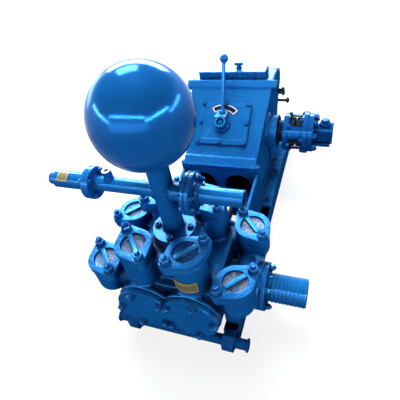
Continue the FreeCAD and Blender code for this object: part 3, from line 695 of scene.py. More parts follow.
def sector(inner: float, outer: float, start: float, stop: float) -> Outline:
    """The outline of a piece of a ring.

    Args:
        inner: the inner radius.
        outer: the outer radius.
        start: the first angle, in degrees.
        stop: the last angle, in degrees.

    Returns:
        A function that gives the outline drawn in by a distance.
    """
    def outline(inset: float) -> Array:
        trim = inset / inner
        angle = np.linspace(math.radians(start) + trim, math.radians(stop) - trim, 40)
        way = np.stack((np.cos(angle), np.sin(angle)), 1)
        return np.concatenate(((outer - inset) * way, (inner + inset) * way[::-1]))
    return outline


def on_face(along: float, up: float, out: float = 0.0) -> Triple:
    """A point over the gearbox's face, by its way right, up the slope from the ledge and out."""
    return (along, LEDGE_BACK + up * math.cos(SLOPE) - out * math.sin(SLOPE),
            LEDGE_RISE + up * math.sin(SLOPE) + out * math.cos(SLOPE))


class Skin:
    """Collects the surfaces of one piece as grids of points, and makes the piece."""

    def __init__(self, shop: Workshop) -> None:
        """Starts with no surface.

        Args:
            shop: the workshop that finishes the piece.
        """
        self.shop = shop
        self.points: list[Array] = []
        self.faces: list[tuple[int, ...]] = []
        self.count = 0

    def grid(self, points: Array, closed: bool = False, caps: bool = False) -> None:
        """Joins rings of points by four-sided faces.

        Args:
            points: the rings, each a closed loop, as an array of rings, points and x, y, z.
            closed: whether the last ring joins the first.
            caps: whether the first and last rings are filled.
        """
        numbers = np.arange(points[..., 0].size).reshape(points.shape[:2]) + self.count
        self.points.append(points.reshape(-1, 3))
        self.count += numbers.size
        loop = np.concatenate((numbers, numbers[:, :1]), 1)
        if closed:
            loop = np.concatenate((loop, loop[:1]), 0)
        quads = np.stack((loop[:-1, :-1], loop[:-1, 1:], loop[1:, 1:], loop[1:, :-1]), -1)
        self.faces += [tuple(face) for face in quads.reshape(-1, 4).tolist()]
        if caps:
            self.faces += [tuple(numbers[0][::-1].tolist()), tuple(numbers[-1].tolist())]

    def lathe(self, line: Line, seat: Seat, ease: float = 0.0, segments: int = 64,
              closed: bool = False) -> None:
        """Turns a profile about a seat's axis.

        The point at distance r and height h goes to place + r (cos a, sin a) + h times the axis.

        Args:
            line: pairs of distance and height.
            seat: the foot of the axis.
            ease: the rounding of its corners.
            segments: how many steps go round.
            closed: whether the last pair joins the first, as in a ring.
        """
        pairs = eased(line, ease, closed) if ease else np.asarray(line, float)
        flat = pairs[:, None, :1] * circle(1.0, segments)[None]
        tall = np.broadcast_to(pairs[:, None, 1:], (*flat.shape[:2], 1))
        self.grid(seat.carry(np.concatenate((flat, tall), 2)), closed)

    def plate(self, outline: Outline, layers: Line, seat: Seat) -> None:
        """Stacks an outline into a closed plate, by layers of inset and height from its foot."""
        rings = [raised(outline(float(inset)), height) for inset, height in layers]
        self.grid(seat.carry(np.stack(rings)), caps=True)

    def tube(self, path: Array, radius: float | Array, sides: int, closed: bool = False) -> None:
        """Carries a circle along a path.

        The circle's plane lies across the path: its first vector is the path's direction crossed
        with a fixed one, and its second is the direction crossed with the first.

        Args:
            path: the path's points.
            radius: the tube's radius, one or one for each point.
            sides: how many steps go round.
            closed: whether the path is a loop.
        """
        if closed:
            way = np.roll(path, -1, 0) - np.roll(path, 1, 0)
        else:
            way = np.gradient(path, axis=0)
        way = way / np.linalg.norm(way, axis=1, keepdims=True)
        first = np.cross(way, np.eye(3)[int(np.argmin(np.abs(way).mean(0)))])
        first /= np.linalg.norm(first, axis=1, keepdims=True)
        second = np.cross(way, first)
        ring = circle(1.0, sides)[None]
        size = np.broadcast_to(radius, len(path))[:, None, None]
        offset = ring[..., :1] * first[:, None] + ring[..., 1:] * second[:, None]
        self.grid(path[:, None] + size * offset, closed, caps=not closed)

    def bolt(self, seat: Seat, across: float, height: float, washer: float = 0.0,
             stud: float = 0.0) -> None:
        """Adds a six-sided head or nut, with a washer and a stud's end if they are asked for.

        Args:
            seat: where it stands.
            across: the width across the flats.
            height: the head's height over the washer.
            washer: the washer's thickness.
            stud: how far the stud stands out of the nut.
        """
        corner = across / math.sqrt(3.0)
        self.lathe(HEAD * (corner, height) + (0.0, washer), seat, segments=6)
        if washer:
            rim = corner * 1.13
            self.lathe(((0.0, 0.0), (rim, 0.0), (rim, washer), (0.0, washer)), seat, segments=20)
        if stud:
            bar, top = across * 0.31, washer + height + stud
            edge = bar * 0.28
            line = ((0.0, washer), (bar, washer), (bar, top - edge), (bar - edge, top), (0.0, top))
            self.lathe(line, seat, segments=16)

    def bolt_circle(self, seat: Seat, radius: float, count: int, across: float, height: float,
                    **rest: float) -> None:
        """Sets bolts evenly round a seat's axis, the first one where the seat's turn points."""
        for number, (x, y) in enumerate(circle(radius, count)):
            self.bolt(seat.moved(x, y, 0.0, 37.0 * number), across, height, **rest)

    def weld(self, path: Array, size: float) -> None:
        """Runs a weld bead round a closed path.

        Its radius is the size times 1 + 0.13 sin of the ripples, 1.6 sizes apart, with a slower
        wave of 0.08 over it, so that the bead looks hand laid.

        Args:
            path: the loop's points.
            size: the bead's radius.
        """
        travelled = np.cumsum(np.linalg.norm(np.roll(path, -1, 0) - path, axis=1))
        ripples = max(6, round(travelled[-1] / (size * 1.6)))
        phase = 2 * np.pi * travelled / travelled[-1]
        radius = size * (1.0 + 0.13 * np.sin(ripples * phase) + 0.08 * np.sin(5 * phase + 1.0))
        self.tube(path, radius, 8, closed=True)

    def ring_weld(self, seat: Seat, radius: float, size: float) -> None:
        """Runs a weld bead round a seat's axis, a radius away."""
        count = max(48, int(radius * 2 * math.pi / (size * 0.45)))
        self.weld(seat.carry(raised(circle(radius, count), 0.0)), size)

    def build(self, name: str, finish: Finish, *nodes: str, **rest: object) -> None:
        """Makes the piece and hands it to the workshop.

        Args:
            name: the piece's name.
            finish: the piece's finish.
            nodes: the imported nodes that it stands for.
            rest: the body, grime and crease of the piece.
        """
        mesh = bpy.data.meshes.new(name)
        mesh.from_pydata(np.concatenate(self.points).tolist(), [], self.faces)
        work = bmesh.new()
        work.from_mesh(mesh)
        bmesh.ops.remove_doubles(work, verts=work.verts, dist=JOIN_SKIN)
        bmesh.ops.recalc_face_normals(work, faces=work.faces)
        work.to_mesh(mesh)
        work.free()
        self.shop.place(mesh, name, finish, nodes, **rest)


@dataclass
class Section:
    """A part of the pump whose pieces are made together."""

    shop: Workshop

    def turned(self, name: str, finish: Finish, line: Line, seat: Seat, ease: float,
               segments: int, *nodes: str, **rest: object) -> None:
        """Makes a piece of one turned profile.

        Args:
            name: the piece's name.
            finish: the piece's finish.
            line: pairs of distance and height.
            seat: the foot of its axis.
            ease: the rounding of its corners.
            segments: how many steps go round.
            nodes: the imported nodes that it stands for.
            rest: the body and crease of the piece.
        """
        skin = Skin(self.shop)
        skin.lathe(line, seat, ease, segments)
        skin.build(name, finish, *nodes, **rest)

    def wrapped_plate(self, name: str, centre: Triple, radius: float, half: tuple[float, float],
                      level: bool = False, facing: float = -90.0) -> None:
        """Bends a thin blank plate round a cylinder.

        A point x, y of the flat plate goes to the angle facing + x / r round the cylinder at the
        distance r plus its own height, and y along the cylinder's axis.

        Args:
            name: the piece's name.
            centre: the middle of the plate, taken on the cylinder's axis.
            radius: the cylinder's radius.
            half: half of the plate's length round the cylinder and along it.
            level: whether the cylinder lies along X instead of standing up.
            facing: the direction of the plate's middle, in degrees.
        """
        rim = mm("0,-1.6 0,1.2 .6,1.6 2.6,1.6 3,1.2 3,-1.6")
        field = mm("2.8,1.1 6,1.1 10,1.1 14,1.1 18,1.1 20.5,1.1")
        for part, layers, finish in (("rim", rim, Finish.BRASS), ("field", field, Finish.ETCHED)):
            rings = []
            for inset, height in layers:
                flat = spaced(oblong(*half, 0.003)(inset), 96)
                angle = math.radians(facing) + flat[:, 0] / radius
                bent = [(radius + height) * np.cos(angle), (radius + height) * np.sin(angle)]
                bent.insert(0 if level else 2, flat[:, 1])
                rings.append(np.stack(bent, 1) + np.array(centre))
            skin = Skin(self.shop)
            skin.grid(np.stack(rings), caps=part == "field")
            skin.build(f"{name}_{part}", finish)


@dataclass
class ValveCovers(Section):
    """The eight lobed covers of the valve pots, each held by two stud nuts."""

    reach: float = 0.0765
    wide: float = 0.070
    narrow: float = 0.025
    thick: float = 0.025
    floor: float = 0.013
    recess: float = 0.047
    bar_half: float = 0.0092
    bar_corner: float = 0.004
    pot_y: float = 0.136
    lean: float = 47.6
    nut: float = 0.034
    nut_height: float = 0.020
    collar: float = 0.026
    step: float = 0.0035

    def build(self) -> None:
        """Makes every cover. Each row has its way across, its top and the dirt of its four."""
        rows = (("discharge", 0.102, 0.573, (0.55, 0.5, 0.12, 0.5)),
                ("suction", 0.2665, 0.449, (0.65, 0.35, 0.75, 0.8)))
        spots = [(*side, *end) for side in SIDES for end in (("front", -1), ("back", 1))]
        for kind, x, top, sands in rows:
            for (side, right, end, back), sand in zip(spots, sands):
                name = f"{kind}_cover_{end}_{side}"
                place = (right * x, back * self.pot_y, top - self.thick)
                seat = Seat(place, Z_AXIS, -self.lean * right * back)
                self.make_cover(name, seat, sand)
                self.make_fittings(name, seat)

    def make_cover(self, name: str, seat: Seat, sand: float) -> None:
        """Makes one cover: a lobed plate with a round recess and the bar that crosses it.

        Args:
            name: the node that the cover stands for.
            seat: the middle of its underside.
            sand: how much dirt its recess holds.
        """
        cross = Skin(self.shop)
        cross.plate(oblong(self.recess - 0.0015, self.bar_half, self.bar_corner),
                    mm("0,11 0,24 1.2,26.8 4,27.8"), seat)
        cross.build(f"{name}_bar", Finish.BAR)
        outline = lobed(self.reach, self.wide, self.narrow)
        edge = mm("1.5,0 0,1.5 0,22.2 .8,24.2 2.8,25")
        bowl = mm("49,25 47.5,24.5 47,22.5 46,16 43,13.6 31.02,12.5 14.1,13.4")
        rings = [raised(outline(inset), height) for inset, height in edge]
        rings += [raised(circle(radius, len(rings[0])), height) for radius, height in bowl]
        skin = Skin(self.shop)
        skin.grid(seat.carry(np.stack(rings)), caps=True)

        def grime(points: Array) -> Array:
            x, y, rise = (points - np.array(seat.place)).T
            inside = np.hypot(x, y) < self.recess
            return np.where(inside & (rise < self.floor + 0.002) & (rise > 0.008), sand, 0.0)

        skin.build(f"{name}_cast", Finish.CASTING, name, grime=grime)

    def make_fittings(self, name: str, seat: Seat) -> None:
        """Makes the nuts on one cover, and the crisp rim of the casting under it.

        Args:
            name: the cover's name.
            seat: the middle of its underside.
        """
        nuts = Skin(self.shop)
        for side in (-1.0, 1.0):
            turn = 19.0 * side + seat.place[0] * 90.0
            foot = seat.moved(side * self.reach, 0.0, self.thick - SUNK, turn)
            nuts.bolt(foot, self.nut, self.nut_height, washer=0.0035, stud=0.0155)
        nuts.build(f"{name}_nuts", Finish.BOLT)
        collar = Skin(self.shop)
        outline = lobed(self.reach, self.wide - self.step, self.narrow - self.step)
        collar.plate(outline, mm("6,0 1.5,1.5 0,6 0,20.5 1,21.5 6,22 6,26"),
                     seat.moved(0.0, 0.0, -self.collar))
        collar.build(f"{name}_collar", Finish.CASTING)


@dataclass
class FluidEnd(Section):
    """The pump's casting with its head plate, glands and suction fittings."""

    half: float = 0.210
    head_radius: float = 0.117
    head_thick: float = 0.022
    head_bolts: float = 0.100
    suction_rise: float = 0.241
    suction_face: float = 0.330
    flange_radius: float = 0.098
    flange_thick: float = 0.020
    flange_bolts: float = 0.080

    def build(self) -> None:
        """Makes every piece of the pump end."""
        self.shop.cast("fluid_end_casting", 0.0045, 0.65)
        self.make_head()
        for side, sign in SIDES:
            skin = Skin(self.shop)
            seat = Seat((sign * CYLINDER_X, self.half, CYLINDER_RISE), Y_AXIS)
            skin.lathe(mm("22.2,0 46,0 46,16 34.5,16 34.5,40 22.2,40"), seat, 0.0015, closed=True)
            skin.bolt_circle(seat.moved(0.0, 0.0, 0.0155, 20.0), 0.0405, 4, 0.009, 0.006)
            skin.build(f"rod_gland_{side}_turned", Finish.PLATE, f"rod_gland_{side}")
        self.make_nozzle()
        self.make_flange_bolts("suction_nozzle_bolts", 1)
        seat = Seat((-self.suction_face, 0.0, self.suction_rise), LEFTWARD)
        self.turned("suction_blank_cover_turned", Finish.PLATE,
                    stepped(self.flange_radius, self.flange_thick, 0.003, 0.66, 0.63), seat, 0.002,
                    96, "suction_blank_cover")
        self.make_flange_bolts("suction_blank_bolts", -1)
        self.wrapped_plate("pot_plate", (0.102, -0.136, 0.452), 0.0682, (0.047, 0.0255))

    def make_head(self) -> None:
        """Makes the one plate that closes both cylinders, with its screws."""
        skin = Skin(self.shop)
        skin.plate(twin_disc(CYLINDER_X, self.head_radius),
                   mm("2.5,0 0,2.5 0,17.5 1.3,20.7 4.5,22"),
                   Seat((0.0, -self.half, CYLINDER_RISE), FRONT))
        skin.build("cylinder_head_plate", Finish.PLATE, "cylinder_head_left", "cylinder_head_right")
        screws = Skin(self.shop)
        for sign, turn in ((-1, 180.0), (1, 0.0)):
            centre = (sign * CYLINDER_X, -self.half - self.head_thick + SUNK, CYLINDER_RISE)
            screws.bolt_circle(Seat(centre, FRONT, turn), self.head_bolts, 5, 0.027, 0.017,
                               washer=0.003, stud=0.004)
        screws.build("cylinder_head_screws", Finish.BOLT)

    def make_nozzle(self) -> None:
        """Makes the ridged nozzle that the suction hose slips over."""
        ridges, length, low, high = 9, 0.173, 0.056, 0.059
        pitch = (length - 2 * self.flange_thick) / ridges
        barbs = [pair for start in length - pitch * np.arange(ridges, 0, -1)
                 for pair in ((low, start - 0.0008), (high, start + 0.0006),
                              (high - 0.0006, start + 0.0022), (low, start + 0.8 * pitch))]
        flange = eased(mm("48,0 98,0 98,20 56,20 56,32"), 0.0025)
        rim = mm("55,173 49,173 48,171")
        skin = Skin(self.shop)
        seat = Seat((self.suction_face, 0.0, self.suction_rise), X_AXIS)
        skin.lathe(np.concatenate((flange, barbs, rim)), seat, segments=96, closed=True)
        skin.build("suction_nozzle_turned", Finish.PIPE, "suction_nozzle")

    def make_flange_bolts(self, name: str, sign: int) -> None:
        """Makes the four bolts of a suction flange, heads outside and nuts inside.

        Args:
            name: the piece's name.
            sign: which side of the pump it is on.
        """
        skin = Skin(self.shop)
        away = self.flange_thick - SUNK
        for way, rest in ((1, {"washer": 0.0025, "stud": 0.007}), (-1, {})):
            place = (sign * (self.suction_face + way * away), 0.0, self.suction_rise)
            seat = Seat(place, (float(sign * way), 0.0, 0.0), 45.0)
            skin.bolt_circle(seat, self.flange_bolts, 4, 0.024, 0.014, **rest)
        skin.build(name, Finish.BOLT)


@dataclass
class PressureSide(Section):
    """The ball-shaped air chamber, its post, the discharge pipe and the relief valve."""

    ball_rise: float = 1.010
    ball_radius: float = 0.163
    foot: float = 0.521
    post_radius: float = 0.040
    neck_radius: float = 0.050
    neck_height: float = 0.042
    arm_rise: float = 0.720
    branch_radius: float = 0.033
    arm_bolts: float = 0.0615
    relief_radius: float = 0.028
    relief_bolts: float = 0.048
    socket_at: float = -0.210

    def build(self) -> None:
        """Makes every piece. The chamber is the curve (R sin t, -R cos t) turned about the post."""
        t = np.linspace(0.0, np.pi, 97)
        profile = self.ball_radius * np.stack((np.sin(t), -np.cos(t)), 1)
        self.turned("air_chamber_smooth", Finish.CHAMBER, profile,
                    Seat((0.0, 0.0, self.ball_rise)), 0.0, 144, "air_chamber", crease=180.0)
        self.make_post()
        self.make_discharge()
        self.make_relief()
        self.make_valve()

    def on_arm(self, x: float, axis: Triple, turn: float = 0.0) -> Seat:
        """A seat on the middle line of the level pipes."""
        return Seat((x, 0.0, self.arm_rise), axis, turn)

    def make_post(self) -> None:
        """Makes the post with its foot flange, neck, branch and weld beads."""
        skin = Skin(self.shop)
        seam = self.ball_rise - math.sqrt(self.ball_radius**2 - self.neck_radius**2)
        top, radius = seam - self.foot, self.post_radius
        column = [*mm("0,0 84,0 84,16 40,16"), (radius, top - self.neck_height),
                  (self.neck_radius, top), (0.0, top)]
        skin.lathe(column, Seat((0.0, 0.0, self.foot)), 0.0022, 96)
        skin.lathe(mm("0,20 33,20 33,90 76,90 76,103 64,103.4 64,105 0,105"),
                   self.on_arm(0.0, X_AXIS), 0.0018, 80)
        skin.ring_weld(Seat((0.0, 0.0, self.foot + 0.017)), radius + 0.0015, 0.0042)
        skin.ring_weld(Seat((0.0, 0.0, seam + 0.001)), self.neck_radius + 0.001, 0.0045)
        skin.ring_weld(self.on_arm(0.089, X_AXIS), self.branch_radius + 0.0015, 0.0036)
        skin.weld(self.saddle(self.branch_radius, 1), 0.0036)
        skin.build("air_chamber_post_welded", Finish.PIPE, "air_chamber_post")
        bolts = Skin(self.shop)
        bolts.bolt_circle(Seat((0.0, 0.0, self.foot + 0.0155), Z_AXIS, 7.0), 0.064, 4, 0.024, 0.013,
                          washer=0.0025, stud=0.006)
        bolts.build("post_flange_bolts", Finish.BOLT)

    def saddle(self, radius: float, sign: int) -> Array:
        """The line where a level pipe meets the post.

        With the angle a round the pipe, y = r cos a, z = rise + r sin a and x = sqrt(R^2 - y^2).

        Args:
            radius: the level pipe's radius.
            sign: the side that it leaves on.

        Returns:
            The line's points.
        """
        y, z = circle(radius, 160).T
        away = np.sqrt((self.post_radius + 0.001) ** 2 - y**2)
        return np.stack((sign * away, y, self.arm_rise + z), 1)

    def make_discharge(self) -> None:
        """Makes the flanged outlet pipe, open at its end, and the joint's bolts."""
        skin = Skin(self.shop)
        skin.lathe(mm("24,0 76,0 76,15 37,15 37,25 30,25 30,183 24,183"),
                   self.on_arm(0.105, X_AXIS), 0.0022, 96, closed=True)
        skin.ring_weld(self.on_arm(0.1305, X_AXIS), 0.0315, 0.0034)
        skin.build("discharge_pipe_turned", Finish.PIPE, "discharge_pipe")
        bolts = Skin(self.shop)
        outer, inner = self.on_arm(0.1195, X_AXIS, 16.0), self.on_arm(0.0905, LEFTWARD, -16.0)
        bolts.bolt_circle(outer, self.arm_bolts, 8, 0.018, 0.011, stud=0.006)
        bolts.bolt_circle(inner, self.arm_bolts, 8, 0.018, 0.010)
        bolts.build("discharge_flange_bolts", Finish.BOLT)

    def make_relief(self) -> None:
        """Makes the pipe to the relief valve with its gauge socket."""
        pipe, at, rise = self.relief_radius, self.socket_at, self.arm_rise
        branch = Skin(self.shop)
        branch.lathe(mm("0,30 28,30 28,273 62,273 62,288 0,288"), self.on_arm(0.0, LEFTWARD),
                     0.0018, 80)
        branch.lathe(mm("0,10 17,10 17,66 8,66 8,34 0,34"), Seat((at, 0.0, rise)), 0.0012, 48)
        x, y = circle(0.0175, 120).T
        branch.weld(np.stack((x + at, y, rise + np.sqrt((pipe + SUNK) ** 2 - y**2)), 1), 0.0026)
        branch.ring_weld(self.on_arm(-0.2725, X_AXIS), pipe + 0.0015, 0.0032)
        branch.weld(self.saddle(pipe, -1), 0.0034)
        branch.build("relief_branch_welded", Finish.PIPE, "relief_branch")
        self.turned("gauge_socket_face", Finish.PALE, mm("9.2,64 9.2,66.4 16.5,66.4 16.5,64"),
                    Seat((at, 0.0, rise)), 0.0003, 64)
        self.turned("gauge_socket_bore", Finish.BLACK, disc(0.0088, 0.030, 0.001),
                    Seat((at, 0.0, rise + 0.0345)), 0.0, 48)

    def make_valve(self) -> None:
        """Makes the relief valve, its cap, its bolts and its blank plate."""
        self.turned("relief_valve_turned", Finish.PIPE,
                    mm("0,0 62,0 62,15 39,15 39,29 33,30 33,164 0,164"),
                    self.on_arm(-0.288, LEFTWARD), 0.0018, 80, "relief_valve")
        self.turned("relief_valve_cap_turned", Finish.PIPE,
                    mm("0,0 33,0 24,9 24,26 12,26 11,22 0,22"),
                    self.on_arm(-0.452, LEFTWARD), 0.0014, 64, "relief_valve_cap")
        bolts = Skin(self.shop)
        outer, inner = self.on_arm(-0.3025, LEFTWARD, 45.0), self.on_arm(-0.2735, X_AXIS, 45.0)
        bolts.bolt_circle(outer, self.relief_bolts, 4, 0.018, 0.011, stud=0.006)
        bolts.bolt_circle(inner, self.relief_bolts, 4, 0.018, 0.010)
        bolts.build("relief_flange_bolts", Finish.BOLT)
        self.wrapped_plate("relief_plate", (-0.407, 0.0, self.arm_rise), 0.0334, (0.019, 0.022),
                           level=True, facing=118.0)


@dataclass
class Gearbox(Section):
    """The gearbox casing with its covers, gear shift, lid and breather."""

    hub_side: float = -0.010
    hub_up: float = 0.202
    hub_end: float = 0.056
    seat_rise: float = 0.026
    lever_length: float = 0.255
    lever_radius: float = 0.0092
    lever_angle: float = 62.0
    knob_radius: float = 0.0205

    def build(self) -> None:
        """Makes every piece of the gearbox."""
        self.shop.cast("gearbox_casing", 0.005, 0.6)
        self.make_cover()
        self.make_shift()
        self.make_top()
        self.make_round_covers()
        self.make_fasteners()

    def on_hub(self, along: float = 0.0, up: float = 0.0, out: float = 0.0) -> Seat:
        """A seat over the sloping face, counted from the shift's hub."""
        return Seat(on_face(self.hub_side + along, self.hub_up + up, out), FACE_NORMAL)

    def make_cover(self) -> None:
        """Makes the inspection cover with its border, boss and screws, and the blank sector."""
        skin = Skin(self.shop)
        skin.plate(oblong(0.133, 0.110, 0.012),
                   mm("1.5,0 0,1.5 0,11 .8,13.2 2.8,14 25,14 27,13.4 28.4,12"),
                   Seat(on_face(-0.005, 0.209), FACE_NORMAL))
        skin.lathe(mm("0,11 42,11 42,26 0,26"), self.on_hub(), 0.0025, 72)
        skin.lathe(disc(0.0108, 0.050, 0.0015), self.on_hub(), segments=32)
        skin.build("inspection_cover_machined", Finish.PLATE, "inspection_cover")
        screws = Skin(self.shop)
        spots = mm("-120,309 -2,310 113,309 -126,212 115,211 -127,110 -10,110 113,110")
        for number, (along, up) in enumerate(spots):
            screws.bolt(Seat(on_face(along, up, 0.0135), FACE_NORMAL, 23.0 * number), 0.020, 0.011)
        for along in (-0.036, 0.036):
            screws.bolt(self.on_hub(along, 0.004, self.seat_rise - SUNK), 0.009, 0.006)
        screws.build("inspection_cover_screws", Finish.BOLT)
        for name, layers, finish in (("sector_border", "0,0 0,3.1 .4,3.5", Finish.PALE),
                                     ("sector_field", "4.5,3 4.5,3.8 4.8,4", Finish.BLACK)):
            part = Skin(self.shop)
            part.plate(sector(0.073, 0.103, 44.0, 127.0), mm(layers),
                       self.on_hub(-0.002, 0.001, 0.0115))
            part.build(name, finish)

    def make_shift(self) -> None:
        """Makes the hub that turns on the pin, its level fork, and the lever with its knob."""
        hub = Skin(self.shop)
        hub.lathe(mm("11.1,26.2 28,26.2 28,56 18.5,56 17.5,38 11.1,38"), self.on_hub(), 0.0016, 56,
                  closed=True)
        prongs = mm("-30,0 30,0 26,70 12.5,70 12.5,34 -12.5,34 -12.5,70 -26,70")
        outline = eased(prongs, 0.003, closed=True)
        hub.plate(lambda inset: outline, ((0.0, -0.009), (0.0, 0.0)),
                  Seat(self.on_hub(-0.004, 0.0235, self.hub_end).place))
        hub.build("shift_bracket_forged", Finish.BAR, "shift_bracket", body=LEVER)
        lever = Skin(self.shop)
        angle = math.radians(self.lever_angle)
        way = np.array((0.0, math.cos(angle), math.sin(angle)))
        foot = np.array(self.on_hub(0.0, 0.05344, 0.0326).place)
        axle = tuple(foot + np.array((-0.0125, 0.0, 0.004)))
        lever.lathe(disc(0.011, 0.025, 0.001), Seat(axle, X_AXIS), segments=32)
        steps = np.linspace(0.0, self.lever_length, 40)[:, None]
        lever.tube(foot + steps * way, self.lever_radius, 20)
        swell = np.linspace(0.0, np.pi, 33)
        knob = self.knob_radius * np.stack((np.sin(swell), -1.05 * np.cos(swell)), 1)
        end = Seat(tuple(foot + self.lever_length * way), tuple(way))
        lever.lathe(knob, end, segments=40)
        lever.build("shift_lever_turned", Finish.PIPE, LEVER, body=LEVER)

    def make_top(self) -> None:
        """Makes the lid, the screws in front of it and the breather plug."""
        self.shop.soften("gearbox_lid", Finish.PLATE, 0.004)
        screws = Skin(self.shop)
        for number, along in enumerate((-0.126, -0.003, 0.120)):
            screws.bolt(Seat((along, 0.9025, 0.692), FRONT, 17.0 * number), 0.014, 0.008)
        screws.build("gearbox_lid_screws", Finish.BOLT)
        plug = Skin(self.shop)
        foot = (0.032, 0.945, 0.717)
        plug.bolt(Seat(foot, Z_AXIS, 12.0), 0.026, 0.010)
        plug.lathe(disc(0.010, 0.016, 0.001), Seat(foot), segments=32)
        plug.lathe(disc(0.008, 0.044, 0.004), Seat((0.010, 0.945, 0.739), X_AXIS), segments=32)
        plug.build("breather_plug_turned", Finish.BOLT, "breather_plug")

    def make_round_covers(self) -> None:
        """Makes the bolted round covers on the gearbox's two sides."""
        thick = 0.018
        for name, centre, axis, radius, count in (
                ("crank_cover_left", (-0.192, 0.935, 0.276), LEFTWARD, 0.095, 8),
                ("crank_cover_right", (0.192, 0.935, 0.276), X_AXIS, 0.095, 8),
                ("input_shaft_cover", (-0.226, 0.820, 0.432), LEFTWARD, 0.080, 6)):
            skin = Skin(self.shop)
            seat = Seat(centre, axis)
            skin.lathe(stepped(radius, thick, 0.005, 0.64, 0.6), seat, 0.002, 80)
            skin.bolt_circle(seat.moved(0.0, 0.0, thick - 0.0055, 15.0), radius * 0.83, count,
                             0.016, 0.009)
            skin.build(f"{name}_turned", Finish.PLATE, name)

    def make_fasteners(self) -> None:
        """Makes the front screws, the window rims, the foot bolts and the side fittings."""
        skin = Skin(self.shop)
        for number, (along, rise) in enumerate(mm("-167,384 -15,376 167,384 -167,180 167,180")):
            skin.bolt(Seat((along, LEDGE_BACK + SUNK, rise), FRONT, 31.0 * number), 0.022, 0.013)
        for _, sign in SIDES:
            skin.lathe(mm("70,-2 81,-2 81,6.5 70,6.5"),
                       Seat((sign * CYLINDER_X, LEDGE_BACK, CYLINDER_RISE), FRONT), 0.0018, 80,
                       closed=True)
        for _, sign in SIDES:
            for number, back in enumerate((0.630, 0.875, 1.140)):
                skin.bolt(Seat((sign * 0.226, back, 0.1095), Z_AXIS, 13.0 * number), 0.024, 0.013,
                          washer=0.0025, stud=0.006)
        skin.build("gearbox_fasteners", Finish.BOLT)
        fittings = Skin(self.shop)
        for place, far in (((0.190, 1.108, 0.512), 30), ((0.182, 1.158, 0.468), 32),
                           ((0.176, 1.175, 0.410), 60)):
            stem = f"0,0 8,0 8,{far} 17,{far + 2} 17,{far + 8} 10,{far + 16} 0,{far + 18}"
            fittings.lathe(mm(stem), Seat(place, X_AXIS), 0.002, 40)
        fittings.build("gearbox_side_fittings", Finish.BLACK)


@dataclass
class Drive(Section):
    """The open bell with its coupling and the hydraulic motor."""

    back: float = 0.820
    rise: float = 0.432

    def at(self, x: float, axis: Triple = X_AXIS, turn: float = 0.0) -> Seat:
        """A seat on the drive's middle line."""
        return Seat((x, self.back, self.rise), axis, turn)

    def build(self) -> None:
        """Makes every piece of the drive."""
        drums = ("0,0 56,0 56,26 47,28 47,36 61,38 61,52 52,54 52,60 73,62 73,84 56,86 56,90 "
                 "73,92 73,118 52,120 52,127 0,127")
        self.turned("shaft_coupling_turned", Finish.BLACK, mm(drums), self.at(0.253), 0.0015, 72,
                    "shaft_coupling")
        self.shop.soften("motor_housing", Finish.DRIVE, 0.002)
        self.turned("motor_flange_turned", Finish.DRIVE, mm("0,0 105,0 105,22 96,24 96,48 0,48"),
                    self.at(0.380), 0.002, 96, "motor_flange")
        bolts = Skin(self.shop)
        bolts.bolt_circle(self.at(0.4275, X_AXIS, 22.5), 0.082, 8, 0.024, 0.015, washer=0.002,
                          stud=0.005)
        bolts.bolt_circle(self.at(0.3055, X_AXIS, 10.0), 0.0915, 6, 0.018, 0.012, stud=0.004)
        bolts.bolt_circle(self.at(0.3795, LEFTWARD, 10.0), 0.0945, 6, 0.017, 0.011, stud=0.004)
        bolts.build("drive_bolts", Finish.DRIVE)
        self.shop.soften("hydraulic_motor", Finish.DRIVE, 0.003)
        cap = Skin(self.shop)
        foot = Seat((0.480, self.back, 0.482))
        cap.lathe(disc(0.026, 0.012, 0.002), foot)
        cap.bolt(foot.moved(0.0, 0.0, 0.012, 8.0), 0.034, 0.018)
        cap.build("motor_port_cap_turned", Finish.DRIVE, "motor_port_cap")


class PistonRods(Section):
    """The two rods between the pump and the gearbox, each with its slinger and crosshead."""

    def build(self) -> None:
        """Makes both rods."""
        line = mm("0,145 22,145 22,450 44,452 44,460 22,462 22,620 69.95,620 69.95,710 0,710")
        for side, sign in SIDES:
            body = f"piston_rod_{side}"
            seat = Seat((sign * CYLINDER_X, 0.0, CYLINDER_RISE), Y_AXIS)
            self.turned(f"{body}_turned", Finish.STEEL, line, seat, 0.0018, 72, body, body=body)


@dataclass
class Skid(Section):
    """The welded frame under the pump: channels, cross members, tow bars and tie plates."""

    inner: float = 0.186
    cross_half: float = 0.035
    cross_low: float = 0.003
    cross_high: float = 0.060
    bead: float = 0.0036

    def build(self) -> None:
        """Makes every piece of the skid."""
        for name in ("skid_rail_left", "skid_rail_right", "front_cross_member",
                     "middle_cross_member", "rear_cross_member", "front_tow_bar", "rear_tow_bar",
                     "tie_plate_left", "tie_plate_right"):
            self.shop.soften(name, Finish.FRAME, 0.0022)
        beads = Skin(self.shop)
        low, high = self.cross_low, self.cross_high
        for back in (0.0, 0.615, 1.115):
            near, far = back - self.cross_half, back + self.cross_half
            flat = spaced(np.array(((near, low), (far, low), (far, high), (near, high))), 120)
            for _, sign in SIDES:
                across = np.full((len(flat), 1), sign * (self.inner - 0.001))
                beads.weld(np.concatenate((across, flat), 1), self.bead)
        beads.build("skid_welds", Finish.FRAME)


